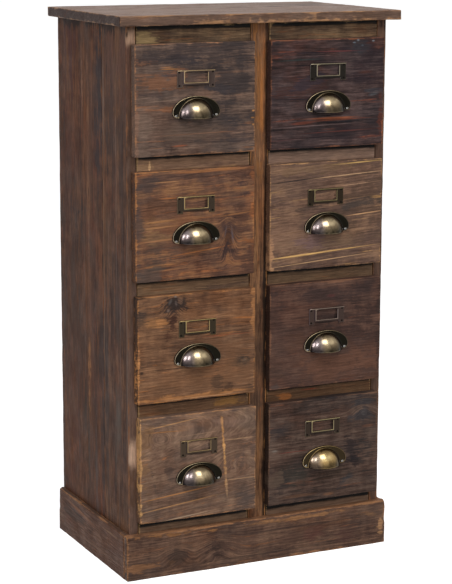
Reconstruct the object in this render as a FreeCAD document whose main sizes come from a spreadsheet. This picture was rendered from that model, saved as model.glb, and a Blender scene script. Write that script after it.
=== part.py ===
import FreeCAD, Part
import math
import os
import re
import Sketcher
from FreeCAD import Placement, Rotation, Vector

# Apothecary chest of eight drawers in two columns, standing on a plinth.
# Millimetres. X runs to the right, Y to the back and Z up.
# The origin is on the floor, under the middle of the whole chest.

os.makedirs("parts", exist_ok=True)
doc = FreeCAD.newDocument("apothecary_chest")

ROWS = ("1", "2", "3", "4")
COLUMNS = ("left", "right")
NAIL_ROWS = 4
DOME_SIDES = 18
DOME_BANDS = 6
HOLLOW_SIDES = 12
HOLLOW_BANDS = 4
ARCH_SIDES = 20
EAR_SIDES = 3

SIZES = (
    # Case
    ("case_width", 460, "outer face of one side board to the other"),
    ("case_depth", 293, "front edge of the side boards to their back edge"),
    ("side_thick", 16, "side boards"),
    ("side_front_board", 100, "width of the front board of each side"),
    ("frame_thick", 18, "stile and rails, front to back"),
    ("stile_width", 32, "middle stile"),
    ("bottom_rail_height", 50, "rail behind the plinth"),
    ("partition_thick", 16, "board between the two columns"),
    ("bottom_thick", 16, "bottom board"),
    ("batten_size", 20, "square battens under the top"),
    # Top board
    ("top_thick", 16, "top board"),
    ("top_side_overhang", 17.5, "past each side board"),
    ("top_front_overhang", 20, "past the front of the case"),
    ("top_corner_round", 6, "corners of the top seen from above"),
    ("top_edge_round", 2.5, "upper arrises of the top"),
    ("top_under_chamfer", 1.5, "lower arrises of the top"),
    # Joints of the case
    ("shoulder_gap", 1, "dried out gap at the ends of the rails"),
    ("tenon_reach", 7, "tenon inside its mortise"),
    ("tenon_thick", 8, "tenon, front to back"),
    ("tenon_shoulder", 5, "above and below each tenon"),
    ("mortise_end_gap", 0.5, "beyond the end of a tenon"),
    ("housing_depth", 5, "bottom board in the sides, partition in the bottom"),
    ("stile_groove", 4, "partition in the back of the stile"),
    ("joint_play", 0.1, "at each cheek of a mortise, housing or groove"),
    # Plinth
    ("plinth_height", 75, "floor to the top of the plinth"),
    ("plinth_front_thick", 13, "front board"),
    ("plinth_side_thick", 9, "side boards"),
    ("plinth_front_round", 6, "upper outer edges of the front board"),
    ("plinth_side_round", 5, "upper outer edge of a side board"),
    ("corner_block", 28, "square glue blocks behind the plinth"),
    # Back panel
    ("back_thick", 6, "back panel"),
    ("back_rebate", 8, "rebate in the side boards, sideways"),
    ("back_inset", 1, "panel in from the back edges of the sides"),
    ("back_foot", 40, "floor to the lower edge of the panel"),
    ("panel_side_gap", 0.3, "panel to the sides of its rebate"),
    ("nail_length", 20, "under the head"),
    ("nail_shank", 1.8, "square shank"),
    ("nail_head", 2.5, "half width of the head"),
    ("nail_head_thick", 0.8, "head"),
    ("nail_margin", 35, "nails in from the bottom board and the top"),
    ("nail_play", 0.05, "round a shank"),
    # Drawer fronts
    ("front_height", 174.5, "drawer fronts"),
    ("front_thick", 16, "drawer fronts"),
    ("front_gap", 23, "between one front and the next above"),
    ("front_base", 94.5, "floor to the lowest fronts"),
    ("front_top_gap", 27.5, "highest fronts to the underside of the top"),
    ("side_overlay", 5.5, "front over the edge of a side board"),
    ("stile_overlay", 3, "front over the stile"),
    ("rail_overlay", 3.5, "front over the rails"),
    ("front_rest_gap", 0.3, "closed front to the case"),
    ("front_chamfer", 1, "worn arrises of the fronts"),
    ("shift_1_left", -2.7, "front off the middle of its place"),
    ("shift_2_left", -2.7, "front off the middle of its place"),
    ("shift_3_left", -0.2, "front off the middle of its place"),
    ("shift_4_left", 2.8, "front off the middle of its place"),
    ("shift_1_right", -1, "front off the middle of its place"),
    ("shift_2_right", -1, "front off the middle of its place"),
    ("shift_3_right", 0.5, "front off the middle of its place"),
    ("shift_4_right", 0.1, "front off the middle of its place"),
    # Drawer boxes
    ("box_rear_play", 16, "ends of the box's sides to the back panel"),
    ("box_board", 10, "sides and back of the box"),
    ("box_side_play", 1.5, "box to each side of its opening"),
    ("box_top_play", 3, "box to the rail above"),
    ("run_play", 0.3, "box above its runners"),
    ("box_housing", 5, "sides in the back of the front"),
    ("box_back_housing", 4, "back in the sides"),
    ("box_back_inset", 8, "back in from the ends of the sides"),
    ("box_back_drop", 6, "back below the upper edges of the sides"),
    ("box_bottom_thick", 5, "drawer bottom"),
    ("box_bottom_rise", 8, "underside of the bottom above the lower edges"),
    ("box_bottom_groove", 5, "bottom in the sides and the front"),
    # Runners
    ("runner_width", 22, "runners, sideways"),
    ("runner_height", 20, "runners"),
    ("runner_end_gap", 1, "runners to the back panel"),
    ("guide_height", 15, "guide strips on the middle runners"),
    # Cup pull
    ("pull_width", 82, "across the ears"),
    ("pull_arch", 25.5, "flange above the middle of its ears"),
    ("pull_ear_round", 8, "lower corners of the ears"),
    ("pull_foot_drop", 28.3, "lower edge of the flange below the middle of the front"),
    ("pull_reach", 22, "out from the drawer front"),
    ("flange_thick", 1.6, "flange"),
    ("rim_width", 1.7, "raised rim"),
    ("rim_raise", 1.2, "rim above the flange"),
    ("dome_radius", 29.4, "half width of the dome at the flange"),
    ("dome_wall", 1.6, "metal of the dome"),
    ("dome_drop", 1.5, "lip of the dome below the flange"),
    ("bead_width", 1.4, "step round the foot of the dome"),
    ("bead_raise", 0.8, "step above the flange"),
    ("screw_spacing", 67, "between the two screws"),
    ("screw_rise", 4.2, "screws above the lower edge of the flange"),
    ("screw_shank", 1.6, "half width of the shank"),
    ("screw_length", 13, "under the head"),
    ("screw_head", 2.4, "half width of the head"),
    ("screw_head_thick", 1.3, "head"),
    ("screw_play", 0.1, "round a screw or pin"),
    # Label holder
    ("holder_width", 65, "plate"),
    ("holder_height", 27, "plate"),
    ("holder_rise", 31.8, "middle of the plate above the middle of the front"),
    ("holder_thick", 1.1, "plate"),
    ("card_frame_width", 45.6, "raised frame"),
    ("card_frame_height", 21.7, "raised frame, from the upper edge of the plate"),
    ("card_frame_thick", 2.3, "raised frame, from the drawer front"),
    ("window_width", 39, "window for the card"),
    ("window_height", 15.2, "window for the card"),
    ("window_base", 2.6, "window above the lower edge of its frame"),
    ("card_lap", 1.6, "card behind each edge of the window"),
    ("card_slot", 1.2, "slot for the card, front to back"),
    ("holder_up_1_left", 0, "label holder above its place"),
    ("holder_up_2_left", 0, "label holder above its place"),
    ("holder_up_3_left", -1.5, "label holder above its place"),
    ("holder_up_4_left", -1.5, "label holder above its place"),
    ("holder_up_1_right", 3, "label holder above its place"),
    ("holder_up_2_right", -2, "label holder above its place"),
    ("holder_up_3_right", -2.5, "label holder above its place"),
    ("holder_up_4_right", 6, "label holder above its place"),
    ("holder_aside_1_left", 0, "label holder right of its place"),
    ("holder_aside_2_left", 0, "label holder right of its place"),
    ("holder_aside_3_left", 0, "label holder right of its place"),
    ("holder_aside_4_left", 0, "label holder right of its place"),
    ("holder_aside_1_right", -1, "label holder right of its place"),
    ("holder_aside_2_right", -2.5, "label holder right of its place"),
    ("holder_aside_3_right", 1, "label holder right of its place"),
    ("holder_aside_4_right", -3.5, "label holder right of its place"),
    ("pin_inset_side", 4.2, "pins in from the ends of the plate"),
    ("pin_inset_edge", 4, "pins in from its long edges"),
    ("pin_shank", 0.8, "half width of the shank"),
    ("pin_length", 8, "under the head"),
    ("pin_head", 1.5, "half width of the head"),
    ("pin_head_thick", 0.6, "head"),
)

LAYOUT = (
    ("case_face", "(front_thick + front_rest_gap + pull_reach - case_depth) / 2"),
    ("inner_half", "case_width / 2 - side_thick"),
    ("stile_half", "stile_width / 2"),
    ("partition_half", "partition_thick / 2"),
    ("opening_half", "(inner_half - stile_half) / 2"),
    ("column_x", "(inner_half + stile_half) / 2"),
    ("row_pitch", "front_height + front_gap"),
    ("opening_height", "front_height - 2 * rail_overlay"),
    ("first_opening", "front_base + rail_overlay"),
    ("rail_height", "row_pitch - opening_height"),
    ("rows_top", f"first_opening + {len(ROWS) - 1} * row_pitch + opening_height"),
    ("case_height", "rows_top + rail_overlay + front_top_gap"),
    ("tenon_front", "(frame_thick - tenon_thick) / 2"),
    ("tenon_back", "tenon_front + tenon_thick"),
    ("mortise_depth", "tenon_reach + mortise_end_gap"),
    ("bottom_top", "first_opening - runner_height"),
    ("bottom_under", "bottom_top - bottom_thick"),
    ("partition_foot", "bottom_top - housing_depth"),
    ("panel_back", "case_depth - back_inset"),
    ("panel_front", "panel_back - back_thick"),
    ("nail_x", "inner_half + back_rebate / 2"),
    ("nail_tip", "panel_back - nail_length"),
    ("nail_hole", "nail_shank / 2 + nail_play"),
    ("nail_first", "bottom_top + nail_margin"),
    ("nail_step", f"(case_height - nail_first - nail_margin) / {NAIL_ROWS - 1}"),
    ("front_middle", "(side_overlay - stile_overlay) / 2"),
    ("front_half", "opening_half + (side_overlay + stile_overlay) / 2"),
    ("front_face", "front_thick + front_rest_gap"),
    ("box_half", "opening_half - box_side_play"),
    ("box_inner", "box_half - box_board"),
    ("box_top", "opening_height - box_top_play"),
    ("box_floor", "run_play + box_bottom_rise"),
    ("box_length", "panel_front - box_rear_play"),
    ("box_back", "box_length - box_back_inset"),
    ("front_centre", "opening_height / 2"),
    ("pull_middle", "front_centre - pull_foot_drop + pull_ear_round"),
    ("holder_middle", "front_centre + holder_rise"),
    ("screw_half", "screw_spacing / 2"),
    ("screw_up", "screw_rise - pull_ear_round"),
    ("dome_middle", "-(pull_ear_round) - dome_drop"),
    ("window_half", "window_width / 2"),
    ("card_frame_foot", "holder_height / 2 - card_frame_height"),
    ("window_foot", "card_frame_foot + window_base"),
    ("pin_x", "holder_width / 2 - pin_inset_side"),
    ("pin_z", "holder_height / 2 - pin_inset_edge"),
    ("screw_hole", "screw_shank + screw_play"),
    ("pin_hole", "pin_shank + screw_play"),
)

# Sheets
sizes = doc.addObject("Spreadsheet::Sheet", "sizes")
layout = doc.addObject("Spreadsheet::Sheet", "layout")
home = {}


def bound(text):
    """The formula with each name pointed at the sheet that holds it."""
    return re.sub(r"[a-z][a-z0-9_]+", lambda word: f"{home[word[0]]}.{word[0]}", text)


for row, (name, value, meaning) in enumerate(SIZES, 1):
    sizes.set(f"A{row}", name)
    sizes.set(f"B{row}", str(value))
    sizes.set(f"C{row}", meaning)
    sizes.setAlias(f"B{row}", name)
    home[name] = "sizes"
doc.recompute()

for row, (name, formula) in enumerate(LAYOUT, 1):
    layout.set(f"A{row}", name)
    layout.set(f"B{row}", "=" + bound(formula))
    layout.setAlias(f"B{row}", name)
    home[name] = "layout"
doc.recompute()


def size(name):
    """The present value of a named size."""
    return float(getattr(doc.getObject(home[name]), name))


# Builders
nodes = []


def bind(item, prop, text):
    item.setExpression(prop, bound(text))


def place(item, x="0", y="0", z="0"):
    """Stands the item at a point given as formulas."""
    for axis, text in zip("xyz", (x, y, z)):
        bind(item, f"Placement.Base.{axis}", text)
    return item


def node(item, name):
    """Makes the item one sub-part of the chest."""
    item.Label = name
    nodes.append(item)
    return item


def block(x, y, z):
    """A board that fills three spans, each a pair of formulas."""
    board = doc.addObject("Part::Box", "board")
    for prop, (low, high) in zip(("Length", "Width", "Height"), (x, y, z)):
        bind(board, prop, f"({high}) - ({low})")
    return place(board, x[0], y[0], z[0])


def both(text):
    """The span from minus to plus the formula."""
    return (f"-({text})", text)


def grown(low, high):
    """A span with the play of a joint at each end."""
    return (f"{low} - joint_play", f"{high} + joint_play")


def around(middle, half):
    """The span of a half width to each side of a middle."""
    return (f"{middle} - {half}", f"{middle} + {half}")


def sided(column, low, high):
    """A span of the right-hand half, mirrored for the left."""
    if column == "right":
        return (low, high)
    return (f"-({high})", f"-({low})")


def fused(items):
    union = doc.addObject("Part::MultiFuse", "union")
    union.Shapes = items
    return union


def without(base, tools):
    """The base with the tools cut out of it."""
    cut = doc.addObject("Part::Cut", "cut")
    cut.Base = base
    cut.Tool = fused(tools) if len(tools) > 1 else tools[0]
    return cut


def group(items):
    """Separate solids that are handled as one."""
    compound = doc.addObject("Part::Compound", "group")
    compound.Links = items
    return compound


def bar(sides, half, low, high):
    """An upright bar with a regular section, between two heights."""
    prism = doc.addObject("Part::Prism", "bar")
    prism.Polygon = sides
    bind(prism, "Circumradius", half)
    bind(prism, "Height", f"({high}) - ({low})")
    return place(prism, z=low)


def turned(item, degrees):
    """Turns an item about the X axis."""
    item.Placement.Rotation = Rotation(Vector(1, 0, 0), degrees)
    return item


def slab(width, depth, height):
    """A body padded up from a rectangle with one corner at its origin."""
    body = doc.addObject("PartDesign::Body", "slab")
    sketch = body.newObject("Sketcher::SketchObject", "outline")
    ground = [item for item in body.Origin.OriginFeatures if item.Role == "XY_Plane"]
    sketch.AttachmentSupport = (ground[0], "")
    sketch.MapMode = "FlatFace"
    wide = float(sizes.evalExpression(bound(width)))
    deep = float(sizes.evalExpression(bound(depth)))
    corners = [Vector(), Vector(wide, 0), Vector(wide, deep), Vector(0, deep)]
    for number in range(4):
        edge = Part.LineSegment(corners[number], corners[(number + 1) % 4])
        sketch.addGeometry(edge, False)
    for number in range(4):
        meeting = Sketcher.Constraint("Coincident", number, 2, (number + 1) % 4, 1)
        sketch.addConstraint(meeting)
    sketch.addConstraint(Sketcher.Constraint("Coincident", 0, 1, -1, 1))
    for number, direction in enumerate(("Horizontal", "Vertical") * 2):
        sketch.addConstraint(Sketcher.Constraint(direction, number))
    across = sketch.addConstraint(Sketcher.Constraint("DistanceX", 0, 1, 0, 2, wide))
    bind(sketch, f"Constraints[{across}]", width)
    along = sketch.addConstraint(Sketcher.Constraint("DistanceY", 1, 1, 1, 2, deep))
    bind(sketch, f"Constraints[{along}]", depth)
    pad = body.newObject("PartDesign::Pad", "pad")
    pad.Profile = sketch
    bind(pad, "Length", height)
    doc.recompute()
    return body


def eased(body, kind, prop, amount, wanted):
    """Rounds or chamfers the edges that are wanted."""
    base = body.Tip
    names = []
    for number, edge in enumerate(base.Shape.Edges, 1):
        if wanted(edge.BoundBox, base.Shape.BoundBox):
            names.append(f"Edge{number}")
    dressing = body.newObject(f"PartDesign::{kind}", kind.lower())
    dressing.Base = (base, names)
    bind(dressing, prop, amount)
    doc.recompute()
    return body


def same(one, other):
    return abs(one - other) < 1e-4


# Case
BOTTOM_RAIL = ("first_opening - bottom_rail_height", "first_opening")
TOP_RAIL = ("rows_top", "case_height")
MIDDLE_RAILS = [
    (f"first_opening + {step} * row_pitch - rail_height", f"first_opening + {step} * row_pitch")
    for step in range(1, len(ROWS))
]
RAILS = [BOTTOM_RAIL, *MIDDLE_RAILS, TOP_RAIL]
NAIL_HEIGHTS = [f"nail_first + {step} * nail_step" for step in range(NAIL_ROWS)]


def case_piece(item, name):
    """Names a piece drawn from the front plane of the case and the floor."""
    return node(place(item, y="case_face"), name)


def mortises(x):
    """The spaces for the rails' tenons in one upright."""
    return [
        block(
            x,
            grown("tenon_front", "tenon_back"),
            grown(f"{low} + tenon_shoulder", f"{high} - tenon_shoulder"),
        )
        for low, high in RAILS
    ]


def nail_holes(x, y):
    return [block(around(x, "nail_hole"), y, around(z, "nail_hole")) for z in NAIL_HEIGHTS]


for column in COLUMNS:
    thickness = sided(column, "inner_half", "case_width / 2")
    housing_x = sided(column, "inner_half", "inner_half + housing_depth + joint_play")
    housing_z = grown("bottom_under", "bottom_top")
    mortise_x = sided(column, "inner_half", "inner_half + mortise_depth")
    rebate_x = sided(column, "inner_half", "inner_half + back_rebate + panel_side_gap")
    nail_x = sided(column, "nail_x", "nail_x")[0]

    front_board = without(
        block(thickness, ("0", "side_front_board"), ("0", "case_height")),
        mortises(mortise_x)
        + [block(housing_x, ("frame_thick - joint_play", "side_front_board"), housing_z)],
    )
    case_piece(front_board, f"{column}_side_front_board")

    rear_board = without(
        block(thickness, ("side_front_board", "case_depth"), ("0", "case_height")),
        [
            block(rebate_x, ("panel_front", "case_depth"), ("0", "case_height")),
            block(housing_x, ("side_front_board", "panel_front"), housing_z),
        ]
        + nail_holes(nail_x, ("nail_tip - nail_play", "panel_front")),
    )
    case_piece(rear_board, f"{column}_side_rear_board")

stile = without(
    block(both("stile_half"), ("0", "frame_thick"), ("0", "case_height")),
    mortises(("stile_half - mortise_depth", "stile_half"))
    + mortises(("-(stile_half)", "mortise_depth - stile_half"))
    + [
        block(
            both("partition_half + joint_play"),
            ("frame_thick - stile_groove - joint_play", "frame_thick"),
            ("partition_foot - joint_play", "case_height"),
        )
    ],
)
case_piece(stile, "centre_stile")

partition = without(
    block(
        both("partition_half"),
        ("frame_thick - stile_groove", "panel_front"),
        ("partition_foot", "case_height"),
    ),
    nail_holes("0", ("nail_tip - nail_play", "panel_front")),
)
case_piece(partition, "centre_partition")

bottom = without(
    block(
        both("inner_half + housing_depth"),
        ("frame_thick", "panel_front"),
        ("bottom_under", "bottom_top"),
    ),
    [
        block(
            both("partition_half + joint_play"),
            ("frame_thick", "panel_front"),
            ("partition_foot - joint_play", "bottom_top"),
        )
    ],
)
case_piece(bottom, "bottom_board")


def rail(column, low, high):
    """A rail between a side board and the stile, with a stub tenon at each end."""
    length = both("opening_half - shoulder_gap")
    tenons = both("opening_half + tenon_reach")
    tenon_z = (f"{low} + tenon_shoulder", f"{high} - tenon_shoulder")
    board = block(length, ("0", "frame_thick"), (low, high))
    tongue = block(tenons, ("tenon_front", "tenon_back"), tenon_z)
    return place(fused([board, tongue]), x=sided(column, "column_x", "column_x")[0])


for name, levels in (
    ("top_rails", [TOP_RAIL]),
    ("middle_rails", MIDDLE_RAILS),
    ("bottom_rails", [BOTTOM_RAIL]),
):
    rails = [rail(column, low, high) for column in COLUMNS for low, high in levels]
    case_piece(group(rails), name)

# Back panel
panel = without(
    block(
        both("inner_half + back_rebate"),
        ("panel_front", "panel_back"),
        ("back_foot", "case_height"),
    ),
    nail_holes("-(nail_x)", ("panel_front", "panel_back"))
    + nail_holes("0", ("panel_front", "panel_back"))
    + nail_holes("nail_x", ("panel_front", "panel_back")),
)
case_piece(panel, "back_panel")

shank = block(both("nail_shank / 2"), both("nail_shank / 2"), ("-(nail_length)", "0"))
nail = fused([shank, bar(6, "nail_head", "0", "nail_head_thick")])
nails = [
    place(turned(group([nail]), -90), x, "panel_back", z)
    for x in ("-(nail_x)", "0", "nail_x")
    for z in NAIL_HEIGHTS
]
case_piece(group(nails), "back_panel_nails")

# Runners and guides
runner_y = ("frame_thick", "panel_front - runner_end_gap")
runners = []
guides = []
for column in COLUMNS:
    for step in range(len(ROWS)):
        level = f"first_opening + {step} * row_pitch"
        height = (f"{level} - runner_height", level)
        outer = sided(column, "inner_half - runner_width", "inner_half")
        inner = sided(column, "partition_half", "partition_half + runner_width")
        strip = sided(column, "partition_half", "stile_half")
        runners += [block(outer, runner_y, height), block(inner, runner_y, height)]
        guides.append(block(strip, runner_y, (level, f"{level} + guide_height")))
case_piece(group(runners), "drawer_runners")
case_piece(group(guides), "drawer_guides")

# Battens and corner blocks
batten_y = ("frame_thick", "panel_front - runner_end_gap")
battens = [
    block(
        sided(column, "inner_half - batten_size", "inner_half"),
        batten_y,
        ("case_height - batten_size", "case_height"),
    )
    for column in COLUMNS
]
case_piece(group(battens), "top_battens")

corner_blocks = [
    block(
        sided(column, "inner_half - corner_block", "inner_half"),
        ("0", "corner_block"),
        ("0", "first_opening - bottom_rail_height"),
    )
    for column in COLUMNS
]
case_piece(group(corner_blocks), "plinth_corner_blocks")

# Top board
def upright(edge, whole):
    return edge.ZLength > whole.ZLength / 2


def uppermost(edge, whole):
    return same(edge.ZMin, whole.ZMax)


def lowermost(edge, whole):
    return same(edge.ZMax, whole.ZMin)


top = slab("case_width + 2 * top_side_overhang", "case_depth + top_front_overhang", "top_thick")
eased(top, "Fillet", "Radius", "top_corner_round", upright)
eased(top, "Fillet", "Radius", "top_edge_round", uppermost)
eased(top, "Chamfer", "Size", "top_under_chamfer", lowermost)
place(top, "-(case_width) / 2 - top_side_overhang", "case_face - top_front_overhang", "case_height")
node(top, "top_board")


# Plinth
def upper_outer(edge, whole):
    """The upper edges, except the one against the case."""
    return same(edge.ZMin, whole.ZMax) and not same(edge.YMin, whole.YMax)


def upper_left(edge, whole):
    return same(edge.ZMin, whole.ZMax) and same(edge.XMax, whole.XMin)


def upper_right(edge, whole):
    return same(edge.ZMin, whole.ZMax) and same(edge.XMin, whole.XMax)


plinth_front = slab("case_width + 2 * plinth_side_thick", "plinth_front_thick", "plinth_height")
eased(plinth_front, "Fillet", "Radius", "plinth_front_round", upper_outer)
place(plinth_front, "-(case_width) / 2 - plinth_side_thick", "case_face - plinth_front_thick")
node(plinth_front, "plinth_front")

plinth_left = slab("plinth_side_thick", "case_depth", "plinth_height")
eased(plinth_left, "Fillet", "Radius", "plinth_side_round", upper_left)
place(plinth_left, "-(case_width) / 2 - plinth_side_thick", "case_face")
node(plinth_left, "plinth_left")

plinth_right = slab("plinth_side_thick", "case_depth", "plinth_height")
eased(plinth_right, "Fillet", "Radius", "plinth_side_round", upper_right)
place(plinth_right, "case_width / 2", "case_face")
node(plinth_right, "plinth_right")

# Drawer box, drawn from the middle of its opening, the case front and the opening's floor
box_side_y = ("-(front_rest_gap) - box_housing", "box_length")
box_height = ("run_play", "box_top")
groove_z = grown("box_floor", "box_floor + box_bottom_thick")


def box_side(column):
    return without(
        block(sided(column, "box_inner", "box_half"), box_side_y, box_height),
        [
            block(
                sided(column, "box_inner", "box_inner + box_bottom_groove + joint_play"),
                box_side_y,
                groove_z,
            ),
            block(
                sided(column, "box_inner", "box_inner + box_back_housing + joint_play"),
                grown("box_back - box_board", "box_back"),
                ("box_floor + box_bottom_thick", "box_top"),
            ),
        ],
    )


box_back = block(
    both("box_inner + box_back_housing"),
    ("box_back - box_board", "box_back"),
    ("box_floor + box_bottom_thick + joint_play", "box_top - box_back_drop"),
)
box = group([box_side("left"), box_side("right"), box_back])

box_bottom = block(
    both("box_inner + box_bottom_groove"),
    ("-(front_rest_gap) - box_bottom_groove", "box_back"),
    ("box_floor", "box_floor + box_bottom_thick"),
)


# Hardware, drawn lying on its back with Y up the drawer and Z out of it
def ring_points(radius, middle, height, sides):
    """Points of a half circle over a level line."""
    angles = [math.pi * step / sides for step in range(sides + 1)]
    return [Vector(radius * math.cos(a), middle + radius * math.sin(a), height) for a in angles]


def half_dome(radius, reach, start, middle, sides, bands):
    """Half of a round cap, flat behind and along its lower lip.

    It rises straight to the start height and then curves to a tip at its reach.
    """
    rise = reach - start
    ball = (radius**2 + rise**2) / (2 * rise)
    centre = reach - ball
    first = math.asin((start - centre) / ball)
    rings = [ring_points(radius, middle, 0, sides)]
    for band in range(bands):
        angle = first + (math.pi / 2 - first) * band / bands
        width = ball * math.cos(angle)
        rings.append(ring_points(width, middle, centre + ball * math.sin(angle), sides))
    tip = Vector(0, middle, reach)
    outlines = [rings[0]]
    for low, high in zip(rings, rings[1:]):
        for step in range(sides):
            outlines.append([low[step], low[step + 1], high[step + 1], high[step]])
    last = rings[-1]
    for step in range(sides):
        outlines.append([last[step], last[step + 1], tip])
    ends = [ring[0] for ring in rings]
    starts = [ring[-1] for ring in reversed(rings)]
    outlines.append([*ends, tip, *starts])
    faces = [Part.Face(Part.makePolygon([*points, points[0]])) for points in outlines]
    solid = Part.makeSolid(Part.makeShell(faces))
    if solid.Volume < 0:
        solid.reverse()
    return solid


def raised(points, height):
    """A plate of the outline, from the drawer front to the height."""
    return Part.Face(Part.makePolygon([*points, points[0]])).extrude(Vector(0, 0, height))


def flange_outline(inset):
    """The half oval of the flange with its two round ears, drawn in evenly."""
    wide = size("pull_width") / 2 - inset
    high = size("pull_arch") - inset
    ear = size("pull_ear_round") - inset
    ear_x = size("pull_width") / 2 - size("pull_ear_round")
    points = []
    for step in range(EAR_SIDES):
        angle = math.pi / 2 * (step / EAR_SIDES - 1)
        points.append(Vector(ear_x + ear * math.cos(angle), ear * math.sin(angle), 0))
    for step in range(ARCH_SIDES + 1):
        angle = math.pi * step / ARCH_SIDES
        points.append(Vector(wide * math.cos(angle), high * math.sin(angle), 0))
    mirrored = [Vector(-point.x, point.y, 0) for point in reversed(points[:EAR_SIDES])]
    return points + mirrored


def cup_shape():
    """The casting: flange, raised rim, step, hollow dome and two screw holes."""
    flange = size("flange_thick")
    middle = size("dome_middle")
    radius = size("dome_radius")
    wall = size("dome_wall")
    rim = raised(flange_outline(0), flange + size("rim_raise"))
    rim = rim.cut(raised(flange_outline(size("rim_width")), flange + size("rim_raise")))
    step = ring_points(radius + size("bead_width"), middle, 0, DOME_SIDES)
    bead = raised(step, flange + size("bead_raise"))
    outside = half_dome(radius, size("pull_reach"), flange, middle, DOME_SIDES, DOME_BANDS)
    reach = size("pull_reach") - wall
    inside = half_dome(radius - wall, reach, flange, middle, HOLLOW_SIDES, HOLLOW_BANDS)
    cup = raised(flange_outline(0), flange).multiFuse([rim, bead, outside]).cut(inside)
    for side in (-1, 1):
        place_of_hole = Vector(side * size("screw_half"), size("screw_up"), 0)
        corners = [
            place_of_hole + Vector(
                size("screw_hole") * math.cos(math.radians(angle)),
                size("screw_hole") * math.sin(math.radians(angle)),
                0,
            )
            for angle in range(0, 360, 60)
        ]
        cup = cup.cut(raised(corners, flange))
    return cup.removeSplitter()


casting = doc.addObject("Part::Feature", "cup_casting")
casting.Shape = cup_shape()
casting.Placement = Placement()


def fastener(head, head_thick, shank_sides, shank, length, seat):
    """A screw or pin whose head sits on metal of the seat's thickness."""
    top = bar(8, head, seat, f"{seat} + {head_thick}")
    return fused([top, bar(shank_sides, shank, f"{seat} - {length}", seat)])


def screws():
    return [
        place(
            fastener("screw_head", "screw_head_thick", 6, "screw_shank", "screw_length", "flange_thick"),
            x,
            "screw_up",
        )
        for x in ("-(screw_half)", "screw_half")
    ]


PIN_PLACES = [(x, y) for x in ("-(pin_x)", "pin_x") for y in ("-(pin_z)", "pin_z")]
pins = [
    place(fastener("pin_head", "pin_head_thick", 4, "pin_shank", "pin_length", "holder_thick"), x, y)
    for x, y in PIN_PLACES
]

plate = block(both("holder_width / 2"), both("holder_height / 2"), ("0", "holder_thick"))
card_frame = block(
    both("card_frame_width / 2"),
    ("card_frame_foot", "holder_height / 2"),
    ("0", "card_frame_thick"),
)
window = block(
    both("window_half"),
    ("window_foot", "window_foot + window_height"),
    ("0", "card_frame_thick"),
)
card_space = block(
    both("window_half + card_lap"),
    ("window_foot - card_lap", "holder_height / 2"),
    ("0", "card_slot"),
)
pin_holes = [place(bar(4, "pin_hole", "0", "holder_thick"), x, y) for x, y in PIN_PLACES]
holder = without(fused([plate, card_frame]), [window, card_space, *pin_holes])

pull = group([casting, *screws()])
label_holder = group([holder, *pins])


# Drawers
def bored(sides, half, depth, x, z):
    """A hole into the drawer front from its face."""
    return place(turned(bar(sides, half, "0", depth), 90), x, f"{depth} - front_face", z)


def drawer_front(middle, holder_x, holder_z):
    """A solid front, housed and grooved behind for the box and bored for the hardware."""
    board = slab("2 * front_half", "front_thick", "front_height")
    eased(board, "Chamfer", "Size", "front_chamfer", lambda edge, whole: same(edge.YMax, whole.YMin))
    place(board, f"{middle} - front_half", "-(front_face)", "-(rail_overlay)")
    behind = ("-(front_rest_gap) - box_housing - joint_play", "-(front_rest_gap)")
    tools = [
        block(
            sided(side, "box_inner - joint_play", "box_half + joint_play"),
            behind,
            grown("run_play", "box_top"),
        )
        for side in COLUMNS
    ]
    tools.append(
        block(
            both("box_inner + box_bottom_groove"),
            ("-(front_rest_gap) - box_bottom_groove - joint_play", "-(front_rest_gap)"),
            groove_z,
        )
    )
    for sign in ("-", "+"):
        x = f"{middle} {sign} screw_half"
        depth = "screw_length - flange_thick + screw_play"
        tools.append(bored(6, "screw_hole", depth, x, "pull_middle + screw_up"))
    for x, z in PIN_PLACES:
        depth = "pin_length - holder_thick + screw_play"
        tools.append(bored(4, "pin_hole", depth, f"{holder_x} + {x}", f"{holder_z} + {z}"))
    return without(board, tools)


def drawer(row, column, step):
    """The five sub-parts of one drawer, stood in the opening that many steps up."""
    middle = sided(column, "front_middle", "front_middle")[0]
    middle = f"{middle} + shift_{row}_{column}"
    holder_x = f"{middle} + holder_aside_{row}_{column}"
    holder_z = f"holder_middle + holder_up_{row}_{column}"
    x = sided(column, "column_x", "column_x")[0]
    z = f"first_opening + {step} * row_pitch"
    name = f"drawer_{row}_{column}"
    node(place(drawer_front(middle, holder_x, holder_z), x, "case_face", z), f"{name}_front")
    node(place(group([box]), x, "case_face", z), f"{name}_box")
    node(place(group([box_bottom]), x, "case_face", z), f"{name}_bottom")
    for hardware, across, height, label in (
        (pull, middle, "pull_middle", "cup_pull"),
        (label_holder, holder_x, holder_z, "label_holder"),
    ):
        fitted = turned(group([hardware]), 90)
        place(fitted, f"{x} + {across}", "case_face - front_face", f"{z} + {height}")
        node(fitted, f"{name}_{label}")


for step, row in enumerate(reversed(ROWS)):
    for column in COLUMNS:
        drawer(row, column, step)

# Check and write
doc.recompute()
for item in doc.Objects:
    if "Invalid" in item.State or "Error" in item.State:
        raise RuntimeError(f"{item.Label} did not compute: {item.State}")
for item in nodes:
    if item.Shape.isNull() or not item.Shape.isValid() or not item.Shape.Solids:
        raise RuntimeError(f"{item.Label} has no valid shape")
for item in nodes:
    item.Shape.exportStep(f"parts/{item.Label}.step")

whole = Part.makeCompound([item.Shape for item in nodes]).BoundBox
print(f"{len(nodes)} sub-parts, {sum(len(item.Shape.Solids) for item in nodes)} solids")
print(f"{whole.XLength:.1f} x {whole.YLength:.1f} x {whole.ZLength:.1f} mm")
print(f"middle at {whole.Center.x:.2f}, {whole.Center.y:.2f}")
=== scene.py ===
import math

import bpy
import numpy as np
from mathutils import Matrix, Vector


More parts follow.
